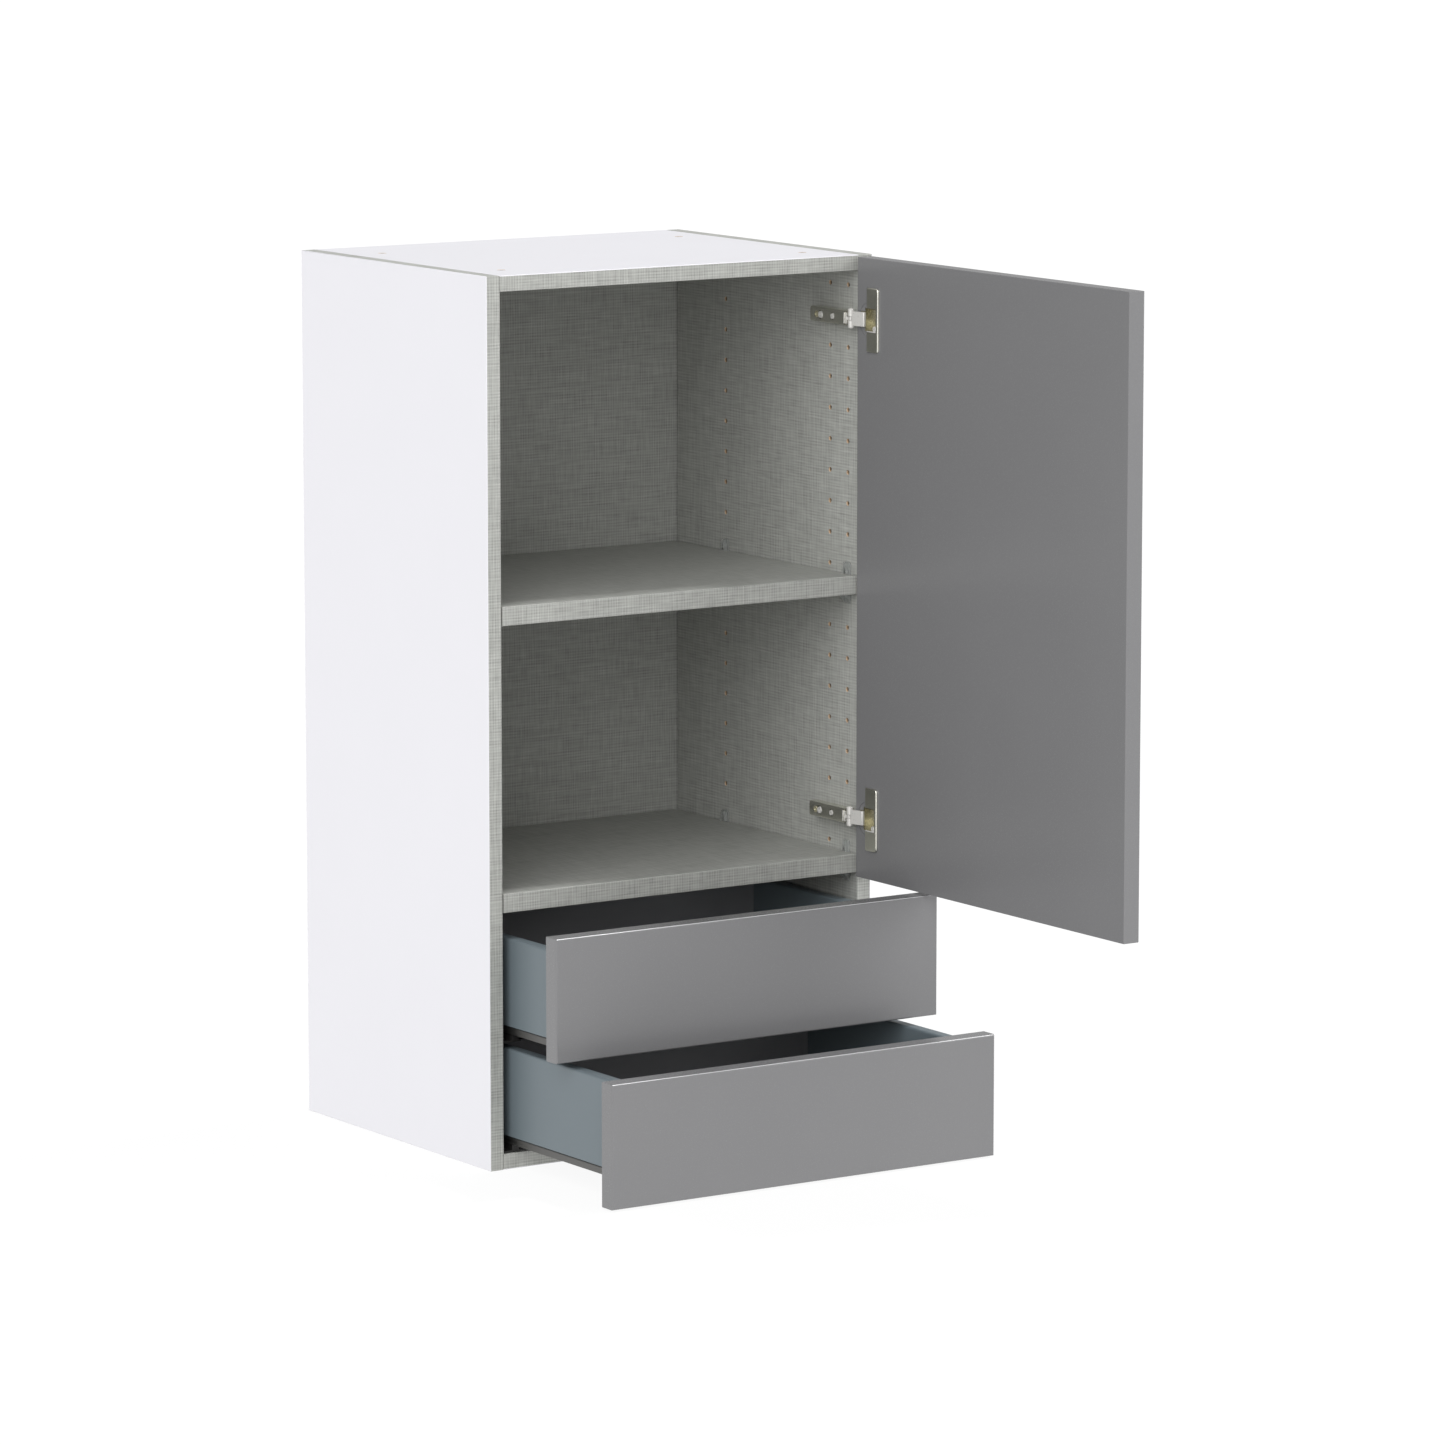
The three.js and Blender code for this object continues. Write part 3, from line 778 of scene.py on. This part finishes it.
for level, up in {"bottom": -1, "top": 1}.items():
    for end in ("front", "rear"):
        names = [f"cam_connector_{level}_{end}_{side}" for side in hands]
        boxes = [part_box(name) for name in names]
        left_x, right_x = boxes[0][1].x - CAM_RADIUS, boxes[1][0].x + CAM_RADIUS
        middle_y = (boxes[0][0].y + boxes[0][1].y) / 2
        top = boxes[0][1].z if up > 0 else boxes[0][0].z
        made = heads(
            f"cams_{level}_{end}", (left_x, middle_y, top - up * CAM_HEAD_HEIGHT),
            (right_x - left_x, 0, 0), 2, (0, 0, up), CAM_RADIUS, CAM_HEAD_HEIGHT, zinc, **CAM_DRIVE,
        )
        stand_for(made, "connector_zinc", *names)
print("cam connectors:", 4 * len(hands))

# %% [markdown]
# ## Shelf clips
# Each clip is one clear moulding: a thin plate on the side, two pins in the system holes, a seat under
# the shelf and a lug shaped like a letter A that locks the shelf from above. The window of the A is left
# open, as a thin moulding has it, so the clip shows light edges around a darker middle.


# %% Mould the clips
CLIP_PLATE = 0.9 * MM
CLIP_SEAT_THICK = 2.4 * MM
CLIP_RIB = 1.4 * MM
CLIP_EASING = 0.4 * MM
CLIP_ROUND_SHARE = 0.7
LUG_REACH = 4 * MM
LUG_WALL = 1.6 * MM
LUG_FOOT_SHARE = 0.66
LUG_PEAK_SHARE = 0.3
LUG_BAR_SHARE = 0.3
PIN_RADIUS = 2 * MM
PIN_REACH = 9 * MM
PIN_BELOW_SHELF = 4.6 * MM
PIN_TIP_SHARE = 0.7


def clip_shapes(low, high, hand, shelf_low, shelf_high):
    """One clip: `low` and `high` are its box, and the two shelf values are the shelf's faces."""
    wall = hand * (inner_right - FIT)
    inward = -hand
    middle = (low.y + high.y) / 2
    half = (high.y - low.y) / 2
    top_round = half * CLIP_ROUND_SHARE
    plate = prism(
        rounded(rectangle((low.y, high.y), (low.z, high.z)), [0, 0, top_round, top_round]),
        "x", wall, wall + inward * CLIP_PLATE,
    )
    seat_top = shelf_low - FIT
    seat_end = hand * min(abs(low.x), abs(high.x))
    seat = board(
        (min(wall, seat_end), low.y, seat_top - CLIP_SEAT_THICK),
        (max(wall, seat_end), high.y, seat_top), CLIP_EASING,
    )
    ribs = [
        prism([(wall, low.z), (wall, seat_top - MM), (seat_end - inward * MM, seat_top - MM)],
              "y", place, place + CLIP_RIB)
        for place in (low.y + CLIP_EASING, high.y - CLIP_EASING - CLIP_RIB)
    ]
    lug_low = shelf_high + FIT
    tip = high.z - MM
    foot, peak = half * LUG_FOOT_SHARE, half * LUG_PEAK_SHARE
    outer = [(middle - foot, lug_low), (middle - peak, tip), (middle + peak, tip),
             (middle + foot, lug_low)]
    gap = foot - LUG_WALL
    inner = [(middle + gap, lug_low), (middle, tip - 2 * LUG_WALL), (middle - gap, lug_low)]
    lug = prism([*outer, *inner], "x", wall + inward * CLIP_PLATE / 2, wall + inward * LUG_REACH)
    bar_z = lug_low + (tip - lug_low) * LUG_BAR_SHARE
    bar = board(
        (min(wall, wall + inward * LUG_REACH), middle - gap, bar_z),
        (max(wall, wall + inward * LUG_REACH), middle + gap, bar_z + LUG_WALL / 2), 0.1 * MM, 1,
    )
    pin = [(0, 0), (PIN_RADIUS, 0), (PIN_RADIUS, PIN_REACH - MM),
           (PIN_RADIUS * PIN_TIP_SHARE, PIN_REACH), (0, PIN_REACH)]
    pin_low = shelf_low - PIN_BELOW_SHELF
    pins = [
        turned(pin, (wall, middle, z), (hand, 0, 0), 16) for z in (pin_low, pin_low + HOLE_PITCH)
    ]
    return [plate, seat, *ribs, lug, bar, *pins]


for shelf in ("divider_shelf", "adjustable_shelf"):
    shelf_low, shelf_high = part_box(shelf)
    for end in ("front", "rear"):
        for side, hand in hands.items():
            node_name = f"{shelf}_clip_{end}_{side}"
            low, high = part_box(node_name)
            shapes = clip_shapes(low, high, hand, shelf_low.z, shelf_high.z)
            made = as_object(f"moulded_{node_name}", shapes, clear_plastic)
            stand_for(smooth_round(made), "clear_plastic", node_name)
print("clips stand at", round(shelf_low.z, 3), "m and below")

# %% [markdown]
# ## The door and the drawer fronts
# Each front is a wrapped slab. The four edges of its face are rounded to two millimetres, and the edges
# of its back are barely broken. One narrow strip of the rounded top edge of a drawer front is painted
# much paler, as a painted highlight line. The door has two bores for the hinge cups, a few millimetres
# from its edge.

# %% Make the fronts
FRONT_RADIUS = 2 * MM
BACK_EASING = 0.4 * MM
HIGHLIGHT_TILT = (0.6, 0.8)
CUP_RADIUS = 17.5 * MM
CUP_DEPTH = 13.4 * MM
CUP_EDGE = 3 * MM


def highlight_strip(shape):
    """The middle strip of the rounded top edge takes the second material, a pale painted highlight."""
    shape.normal_update()
    for face in shape.faces:
        if HIGHLIGHT_TILT[0] < face.normal.z < HIGHLIGHT_TILT[1] and abs(face.normal.x) < HIGHLIGHT_TILT[0]:
            face.material_index = 1
    return shape


door_low, door_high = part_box("door_panel")
made = as_object("door_slab", [board(
    door_low, door_high, BACK_EASING, 2, (0, door_high.x), FRONT_RADIUS,
)], front_grey)
cups = [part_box(f"hinge_cup_{storey}") for storey in storeys]
cup_y = door_high.y - CUP_EDGE - CUP_RADIUS
cup_heights = [(low.z + high.z) / 2 for low, high in cups]
drill(made, (door_low.x, cup_y, cup_heights[0]), (0, 0, cup_heights[1] - cup_heights[0]), 2,
      (1, 0, 0), CUP_RADIUS + FIT, CUP_DEPTH + FIT, front_grey)
stand_for(smooth_round(settle(made)), "grey_front", "door_panel")

for drawer in storeys:
    low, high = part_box(f"{drawer}_drawer_front")
    made = as_object(f"{drawer}_front_slab", [highlight_strip(board(
        low, high, BACK_EASING, 2, (1, low.y), FRONT_RADIUS,
    ))], front_grey, front_highlight)
    stand_for(smooth_round(made), "grey_front", f"{drawer}_drawer_front")
print("door is", [round(v, 3) for v in door_high - door_low])

# %% [markdown]
# ## The hinges
# Each hinge is nickel-plated steel in four pieces. A folded arm clips on a plate screwed to the side. A
# link turns on a pin at the arm's nose, between the two halves of a collar. The cup sits in the door,
# with a flange that lies on the door's face and a window where the link's end works. Brass shows in the
# adjuster, the spring and the pot. The hinges are small, but they are the brightest detail on the
# cabinet, so each fold and edge is rounded. A piece that mixes metals marks them by material index.

# %% Sizes that the two hinges share
SMALL_EASING = 0.4 * MM
FINE_EASING = 0.2 * MM
LINK_THICK = 4 * MM
LINK_HEIGHT = 14.6 * MM
LINK_LENGTH = 17 * MM
LINK_ANGLE = math.radians(-76)
COLLAR_RADIUS = 3.2 * MM
COLLAR_HEIGHT = 19.2 * MM
PIN_IN_LINK = 1.3 * MM
NOSE_AHEAD = 2 * MM
TONGUE_HEIGHT = 3.2 * MM
SCREW_HEADS = {"front": 3 * MM, "rear": 3.8 * MM}

axis_x = inner_right - 11.3 * MM


def ready_shape(made):
    """Takes an object's mesh back as a shape, and removes the object."""
    shape = bmesh.new()
    shape.from_mesh(made.data)
    bpy.data.objects.remove(made)
    return shape


def tinted(shape, index):
    """Gives every face of a shape the material with this index."""
    for face in shape.faces:
        face.material_index = index
    return shape


def socket_head(radius, rim, bore, shoulder, top, floor):
    """The profile of a low head: a bevelled rim around a round recess, in millimetres."""
    profile = [(0, 0), (radius, 0), (radius, shoulder), (rim, top), (bore, top), (bore, floor),
               (0, floor)]
    return [(out * MM, up * MM) for out, up in profile]


# %% Fold the arm
ARM_WALL = 1.2 * MM
ARM_FOLD = 2.6 * MM
ARM_HEEL = 4 * MM
ARM_HOLE_GAP = 0.7 * MM
NECK_HEIGHT = 11 * MM
NECK_SINK = 0.5 * MM
RIDGE = 0.9 * MM
RIDGE_ROOT = 0.8 * MM
RIDGE_EASING = 0.25 * MM
ADJUSTER = {"radius": 3.4, "rim": 2.8, "bore": 1.4, "shoulder": 0.8, "top": 1.2, "floor": 0.3}
ADJUSTER_BEHIND = 7 * MM
TONGUE_HALF = 2.6 * MM
TONGUE_AHEAD = 2.4 * MM
TONGUE_ROUND = 2 * MM


def arm_shapes(name, low, high):
    """The arm's shapes. Material 1 is the ridges and the tongue, and 2 is the adjuster."""
    middle = (low.z + high.z) / 2
    nose_y = front_plane - NOSE_AHEAD
    heel = front_plane + ARM_HEEL
    face, back = low.x, high.x
    fold = [(back, low.z), (face, low.z), (face, high.z), (back, high.z),
            (back, high.z - ARM_WALL), (face + ARM_WALL, high.z - ARM_WALL),
            (face + ARM_WALL, low.z + ARM_WALL), (back, low.z + ARM_WALL)]
    inner_fold = ARM_FOLD - ARM_WALL
    radii = [0, ARM_FOLD, ARM_FOLD, 0, 0, inner_fold, inner_fold, 0]
    channel = as_object("channel", [prism(rounded(fold, radii, 5), "y", heel, high.y)], nickel)
    for place, head in SCREW_HEADS.items():
        screw_low, screw_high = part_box(f"hinge_screw_{name}_{place}")
        drill(channel, (face, (screw_low.y + screw_high.y) / 2, middle), (0, 0, MM), 1,
              (1, 0, 0), head + ARM_HOLE_GAP, ARM_WALL + MM, nickel)
    shapes = [ready_shape(settle(channel))]
    for end in (heel, high.y - ARM_WALL):
        shapes.append(board((face + ARM_WALL, end, low.z + ARM_WALL),
                            (back, end + ARM_WALL, high.z - ARM_WALL), FINE_EASING))
    neck_low, neck_high = middle - NECK_HEIGHT / 2, middle + NECK_HEIGHT / 2
    neck_start = nose_y + COLLAR_RADIUS + NECK_SINK
    shapes.append(board((face + NECK_SINK, neck_start, neck_low), (back, heel, neck_high),
                        SMALL_EASING))
    for ridge in (neck_start, heel + RIDGE):
        shapes.append(tinted(board(
            (face - RIDGE, ridge, neck_low), (face + RIDGE_ROOT, ridge + RIDGE, neck_high),
            RIDGE_EASING,
        ), 1))
    rear_low, rear_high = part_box(f"hinge_screw_{name}_rear")
    behind = (rear_low.y + rear_high.y) / 2 + ADJUSTER_BEHIND
    adjuster = turned(socket_head(**ADJUSTER), (face + SMALL_EASING, behind, middle), (-1, 0, 0), 28)
    shapes.append(tinted(adjuster, 2))
    tongue = rectangle((axis_x - TONGUE_HALF, axis_x + TONGUE_HALF), (nose_y - TONGUE_AHEAD, heel))
    shapes.append(tinted(prism(
        rounded(tongue, [TONGUE_ROUND, TONGUE_ROUND, 0, 0]),
        "z", middle - TONGUE_HEIGHT / 2, middle + TONGUE_HEIGHT / 2,
    ), 1))
    return shapes


# %% Turn the link and its collar
LINK_TIP_ROUND = 1.6 * MM
LINK_EDGE = 0.5 * MM
COLLAR_GAP = 0.4 * MM
RIVET_PROUD = 1.2 * MM


def link_shapes(low, high):
    middle = (low.z + high.z) / 2
    nose = Vector((axis_x, front_plane - NOSE_AHEAD, middle))
    along = Vector((math.cos(LINK_ANGLE), math.sin(LINK_ANGLE), 0))
    across = Vector((-along.y, along.x, 0)) * LINK_THICK / 2
    tip = nose + along * (LINK_LENGTH + LINK_THICK / 2)
    corners = [nose + across, nose - across, tip - across, tip + across]
    outline = rounded([(c.x, c.y) for c in corners], [0, 0, LINK_TIP_ROUND, LINK_TIP_ROUND])
    half = LINK_HEIGHT / 2
    bar = prism(outline, "z", middle - half, middle + half)
    ease(bar, [e for e in bar.edges if e.verts[0].co.z == e.verts[1].co.z], LINK_EDGE, 2)
    bar = as_object("bar", [bar], link_nickel)
    slot_half = TONGUE_HEIGHT / 2 + FIT
    drill(bar, nose, (0, 0, MM), 1, (0, 0, 1), COLLAR_RADIUS + COLLAR_GAP, slot_half, link_nickel)
    shapes = [ready_shape(settle(bar))]
    length = COLLAR_HEIGHT / 2 - slot_half
    inner = COLLAR_RADIUS - LINK_EDGE
    ring = [(0, 0), (inner, 0), (COLLAR_RADIUS, LINK_EDGE),
            (COLLAR_RADIUS, length - LINK_EDGE), (inner, length), (0, length)]
    for up in (-1, 1):
        shapes.append(turned(ring, nose + Vector((0, 0, up * slot_half)), (0, 0, up), 24))
    reach = COLLAR_HEIGHT + RIVET_PROUD
    rivet = [(0, 0), (PIN_IN_LINK, 0), (PIN_IN_LINK, reach), (0, reach)]
    shapes.append(turned(rivet, nose - Vector((0, 0, reach / 2)), (0, 0, 1), 16))
    return shapes


# %% Press a plate
def pressed_plate(u, v, radii, back, front, edge, steps=5):
    """A plate that faces -X. Its rim rolls over by `edge`, as a stamping does."""
    rings = [(0.0, back)]
    for step in range(steps + 1):
        turn = math.pi / 2 * step / steps
        rings.append((edge * (1 - math.cos(turn)), front + edge * (1 - math.sin(turn))))
    shape = bmesh.new()
    loops = []
    for inset, x in rings:
        sides = rectangle((u[0] + inset, u[1] - inset), (v[0] + inset, v[1] - inset))
        outline = rounded(sides, [radius - inset for radius in radii], 6)
        loops.append([shape.verts.new((x, p.x, p.y)) for p in outline])
    shape.faces.new(loops[0])
    shape.faces.new(loops[-1][::-1])
    for lower, upper in zip(loops, loops[1:]):
        for index in range(len(lower)):
            shape.faces.new((lower[index - 1], lower[index], upper[index], upper[index - 1]))
    bmesh.ops.recalc_face_normals(shape, faces=shape.faces)
    return shape


# %% Make the cup, its lid and its flange
CUP_WALL = 1.2 * MM
CUP_FLOOR_BEVEL = 1.5 * MM
CUP_STEPS = 48
FLANGE_THICK = 1.8 * MM
FLANGE_PAST_CENTRE = 2.5 * MM
FLANGE_CORNER = 4 * MM
FLANGE_CUP_CORNER = 1.6 * MM
FLANGE_EDGE = 1.3 * MM
WINDOW_HEIGHT = 23.6 * MM
WINDOW_INSET = 3 * MM
WINDOW_DEEP = 3 * MM
PAST_ALL = 5 * MM
SLOT_HEIGHT = 16 * MM
SLOT_DEEP = 4 * MM
SLOT_FROM_EDGE = 5.7 * MM


def flange_shape(low, high, front, window):
    """The flange, with the window cut through it."""
    corners = [FLANGE_CORNER, FLANGE_CUP_CORNER, FLANGE_CUP_CORNER, FLANGE_CORNER]
    plate = pressed_plate((low.y, cup_y + FLANGE_PAST_CENTRE), (low.z, high.z), corners,
                          door_low.x - FIT, front, FLANGE_EDGE)
    return ready_shape(carve(as_object("flange", [plate], nickel), *window))


def pot_and_lid(middle, window):
    """The pot in the door's bore, and the lid that closes it around the window and the link's slot."""
    face, lid_back = door_low.x, FIT + CUP_WALL
    centre = Vector((face, cup_y, middle))
    inside = CUP_RADIUS - CUP_WALL
    pot = [(0, CUP_DEPTH), (CUP_RADIUS - CUP_FLOOR_BEVEL, CUP_DEPTH),
           (CUP_RADIUS, CUP_DEPTH - CUP_FLOOR_BEVEL), (CUP_RADIUS, lid_back), (inside, lid_back),
           (inside, CUP_DEPTH - CUP_WALL), (0, CUP_DEPTH - CUP_WALL)]
    lid = [(0, FIT), (CUP_RADIUS, FIT), (CUP_RADIUS, lid_back), (0, lid_back)]
    pot, lid = (turned(profile, centre, (1, 0, 0), CUP_STEPS) for profile in (pot, lid))
    # painted shade: the lid wears the door's grey in place of its shadowed nickel
    lid = as_object("lid", [tinted(lid, 1)], nickel, front_grey)
    carve(lid, *window)
    half = SLOT_HEIGHT / 2
    carve(lid, (face - MM, cup_y, middle - half),
          (face + SLOT_DEEP, door_high.y - SLOT_FROM_EDGE, middle + half))
    return [ready_shape(lid), tinted(pot, 2)]


# %% Fit the spring, the boss and the lip in the window
SPRING = {"turns": 4, "start": 2.6, "pitch": 2.4, "wire": 0.8 * MM, "length": 5 * MM}
SPRING_SINK = 1.3 * MM
SPRING_INSET = 3.3 * MM
BOSS = {"radius": 2.8, "rim": 2.4, "bore": 1.4, "shoulder": 2.2, "top": 2.5, "floor": 0.8}
BOSS_SINK = 2.6 * MM
BOSS_INSET = 6.4 * MM
BOSS_BELOW = 8.6 * MM
LIP_LOW = Vector((-0.1, 3.2, -0.3)) * MM
LIP_HIGH = Vector((1, -1, 0.9)) * MM
LIP_EASING = 0.3 * MM


def window_shapes(flange_far, front, middle, window_bottom):
    wire, length = SPRING["wire"], SPRING["length"]
    coil = [(0, 0), (wire, 0), (wire, length), (0, length)]
    shapes = []
    for turn in range(SPRING["turns"]):
        up = (SPRING["start"] + SPRING["pitch"] * turn) * MM
        place = (front + SPRING_SINK, flange_far + SPRING_INSET, middle + up)
        shapes.append(tinted(turned(coil, place, (0, 1, 0), 14), 2))
    place = (front + BOSS_SINK, flange_far + BOSS_INSET, middle - BOSS_BELOW)
    shapes.append(tinted(turned(socket_head(**BOSS), place, (-1, 0, 0), 24), 3))
    lip_low = Vector((front, flange_far, window_bottom)) + LIP_LOW
    lip_high = Vector((front, cup_y + FLANGE_PAST_CENTRE, window_bottom)) + LIP_HIGH
    shapes.append(tinted(board(lip_low, lip_high, LIP_EASING), 3))
    return shapes


def cup_shapes(low, high):
    """The cup's shapes. Material 1 is the lid, in the door's grey as painted shade over its nickel, 2 the
    pot and the spring, and 3 the boss and the lip.
    """
    middle = (low.z + high.z) / 2
    front = door_low.x - FIT - FLANGE_THICK
    half = WINDOW_HEIGHT / 2
    window = (
        Vector((door_low.x - PAST_ALL, low.y + WINDOW_INSET, middle - half)),
        Vector((door_low.x + WINDOW_DEEP, cup_y + FLANGE_PAST_CENTRE + PAST_ALL, middle + half)),
    )
    return [
        flange_shape(low, high, front, window),
        *pot_and_lid(middle, window),
        *window_shapes(low.y, front, middle, window[0].z),
    ]


# %% Assemble both hinges
HEAD_HEIGHT = 1.8 * MM
HEAD_SINK = 1.2 * MM
SCREW_DRIVE = {"drive": 0.44, "drive_depth": 0.8}

for name in storeys:
    arm_name, link_name, cup_name = (f"hinge_{part}_{name}" for part in ("arm", "link", "cup"))
    made = as_object(f"folded_arm_{name}", arm_shapes(name, *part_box(arm_name)),
                     nickel, link_nickel, brass_spring)
    stand_for(smooth_round(made), "hinge_nickel", arm_name)
    made = as_object(f"turned_link_{name}", link_shapes(*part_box(link_name)), link_nickel)
    stand_for(smooth_round(made), "hinge_nickel", link_name)
    made = as_object(f"pressed_cup_{name}", cup_shapes(*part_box(cup_name)),
                     nickel, front_grey, brass_spring, link_nickel)
    stand_for(smooth_round(made), "hinge_nickel", cup_name)
    for place, radius in SCREW_HEADS.items():
        node_name = f"hinge_screw_{name}_{place}"
        low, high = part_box(node_name)
        start = (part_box(arm_name)[0].x + HEAD_SINK, (low.y + high.y) / 2, (low.z + high.z) / 2)
        made = heads(f"screw_head_{name}_{place}", start, (0, 0, MM), 1, (-1, 0, 0), radius,
                     HEAD_HEIGHT, link_nickel, **SCREW_DRIVE)
        stand_for(made, "hinge_nickel", node_name)
    cup_faces = len(bpy.data.objects[f"pressed_cup_{name}"].data.polygons)
    print(f"the {name} hinge's cup has", cup_faces, "faces")

# %% [markdown]
# ## The drawers
# Each drawer side is one folded sheet of powder-coated steel, open below, over a runner of the same
# section in plated steel. The bottom and the back are charcoal board. A small cap closes each side at the
# rear, as the real drawer has where its back is fixed.

# %% Fold the sides and the runners
SIDE_SHEET = 1.5 * MM
SIDE_FOLD = 2.4 * MM
RUNNER_SHEET = 1.2 * MM
RUNNER_FOLD = 1.4 * MM
CAP_THICK = 1.6 * MM
CAP_LIFT = 2 * MM


def folded_channel(low, high, sheet, fold):
    """A strip folded to a channel that is open below, from the front of its box to the rear."""
    outline = [(low.x, low.z), (low.x, high.z), (high.x, high.z), (high.x, low.z),
               (high.x - sheet, low.z), (high.x - sheet, high.z - sheet),
               (low.x + sheet, high.z - sheet), (low.x + sheet, low.z)]
    inner = max(fold - sheet, 0.1 * MM)
    radii = [0, fold, fold, 0, 0, inner, inner, 0]
    return prism(rounded(outline, radii, 5), "y", low.y, high.y)


for drawer in storeys:
    for side in hands:
        side_name, runner_name = f"{drawer}_drawer_side_{side}", f"{drawer}_drawer_runner_{side}"
        low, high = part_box(side_name)
        made = as_object(f"steel_{side_name}", [folded_channel(low, high, SIDE_SHEET, SIDE_FOLD)],
                         drawer_steel)
        stand_for(smooth_round(made), "drawer_steel", side_name)
        made = as_object(f"rolled_{runner_name}", [folded_channel(
            *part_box(runner_name), RUNNER_SHEET, RUNNER_FOLD,
        )], runner_steel)
        stand_for(smooth_round(made), "runner_steel", runner_name)
        cap = board(
            (low.x + SIDE_SHEET, high.y - CAP_THICK, low.z + CAP_LIFT),
            (high.x - SIDE_SHEET, high.y - FINE_EASING, high.z - SIDE_SHEET), SMALL_EASING,
        )
        trim(smooth_round(as_object(f"{drawer}_rear_cap_{side}", [cap], charcoal)),
             cad[side_name]["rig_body"])
        # painted shade: the middle and cabinet runner members take the near-black finish
        for member in ("middle", "cabinet"):
            repaint(f"{drawer}_{member}_runner_{side}", shade_dark_runner)
    low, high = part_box(f"{drawer}_drawer_bottom")
    made = as_object(f"{drawer}_bottom_board", [board(low, high, 0.5 * MM)], charcoal)
    stand_for(smooth_round(made), "charcoal_board", f"{drawer}_drawer_bottom")
print("drawer sides:", round((high.y - low.y) / MM), "mm long")

# %% Screw the runners to the sides
RUNNER_SCREWS = 3
RUNNER_SCREW_RADIUS = 3.2 * MM
RUNNER_SCREW_HEIGHT = 1.4 * MM
RUNNER_WALL = 1.8 * MM
SCREWS_FROM_END = 30 * MM
SCREWS_DROP = 8 * MM
RUNNER_DRIVE = {"drive": 0.34, "drive_depth": 0.7}

for drawer in storeys:
    for side, hand in hands.items():
        low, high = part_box(f"{drawer}_cabinet_runner_{side}")
        start = (hand * (inner_right - RUNNER_WALL), low.y + SCREWS_FROM_END, high.z - SCREWS_DROP)
        step = (high.y - low.y - 2 * SCREWS_FROM_END) / (RUNNER_SCREWS - 1)
        made = heads(f"{drawer}_runner_screws_{side}", start, (0, step, 0), RUNNER_SCREWS,
                     (-hand, 0, 0), RUNNER_SCREW_RADIUS, RUNNER_SCREW_HEIGHT, zinc, **RUNNER_DRIVE)
        trim(made, "carcass")
print("runner screws:", len(storeys) * len(hands) * RUNNER_SCREWS)

# %% [markdown]
# ## Floor and light
# A pale floor that glows a little, and reaches far behind the cabinet, gives a plain background without
# a hard shadow. Soft light comes from the whole sky, which is dimmer for the cabinet than it looks. A
# large key lamp at the left lights the white side, a weaker one at the right lights the fronts and the
# door, and a small lamp high on the right lights the top. The inside falls off gently to the back.

# %% Lay the floor
FLOOR_HALF = 60.0
FLOOR_GLOW = 0.91
FLOOR_COLOUR = (0.10, 0.10, 0.10, 1)
WHITE = (1, 1, 1, 1)

floor_mesh = bpy.data.meshes.new("floor")
corners = [(-1, -1), (1, -1), (1, 1), (-1, 1)]
floor_mesh.from_pydata([(x * FLOOR_HALF, y * FLOOR_HALF, 0) for x, y in corners], [], [(0, 1, 2, 3)])
floor = bpy.data.objects.new("floor", floor_mesh)
bpy.context.scene.collection.objects.link(floor)
floor.location.z = carcass[0].z - 0.5 * MM
pale, _, pale_shader, _ = begin_finish("pale_floor", 0.9)
pale_shader.inputs["Base Color"].default_value = FLOOR_COLOUR
pale_shader.inputs["Specular IOR Level"].default_value = 0.0
pale_shader.inputs["Emission Color"].default_value = WHITE
pale_shader.inputs["Emission Strength"].default_value = FLOOR_GLOW
floor_mesh.materials.append(pale)

# %% Hang the lamps
SKY_STRENGTH = 0.42
LAMPS = {
    "key lamp": {"comes_from": (-0.70, -0.52, 0.49), "strength": 2.42, "spread": 60},
    "front lamp": {"comes_from": (0.60, -0.72, 0.34), "strength": 1.15, "spread": 40},
    "top lamp": {"comes_from": (0.45, -0.03, 0.90), "strength": 1.75, "spread": 8},
}
LAMP_AWAY = 5

world = bpy.data.worlds.new("soft studio")
bpy.context.scene.world = world
world.use_nodes = True
sky = world.node_tree
seen = add_node(sky, "ShaderNodeLightPath").outputs["Is Camera Ray"]
brightness = math_node(sky, "MULTIPLY_ADD", seen, 1 - SKY_STRENGTH)
brightness.node.inputs[2].default_value = SKY_STRENGTH
sky.nodes["Background"].inputs["Color"].default_value = WHITE
sky.links.new(brightness, sky.nodes["Background"].inputs["Strength"])


def lamp(name, comes_from, strength, spread):
    """A far lamp: `spread` is how many degrees wide it looks, and a wide one has soft shadows."""
    light = bpy.data.lights.new(name, "SUN")
    light.energy = strength
    light.angle = math.radians(spread)
    made = bpy.data.objects.new(name, light)
    bpy.context.scene.collection.objects.link(made)
    made.location = Vector(comes_from) * LAMP_AWAY
    made.rotation_euler = Vector(comes_from).to_track_quat("Z", "Y").to_euler()


for name, settings in LAMPS.items():
    lamp(name, **settings)
bpy.context.scene.view_settings.view_transform = "Standard"
print("lamps:", len(bpy.data.lights))
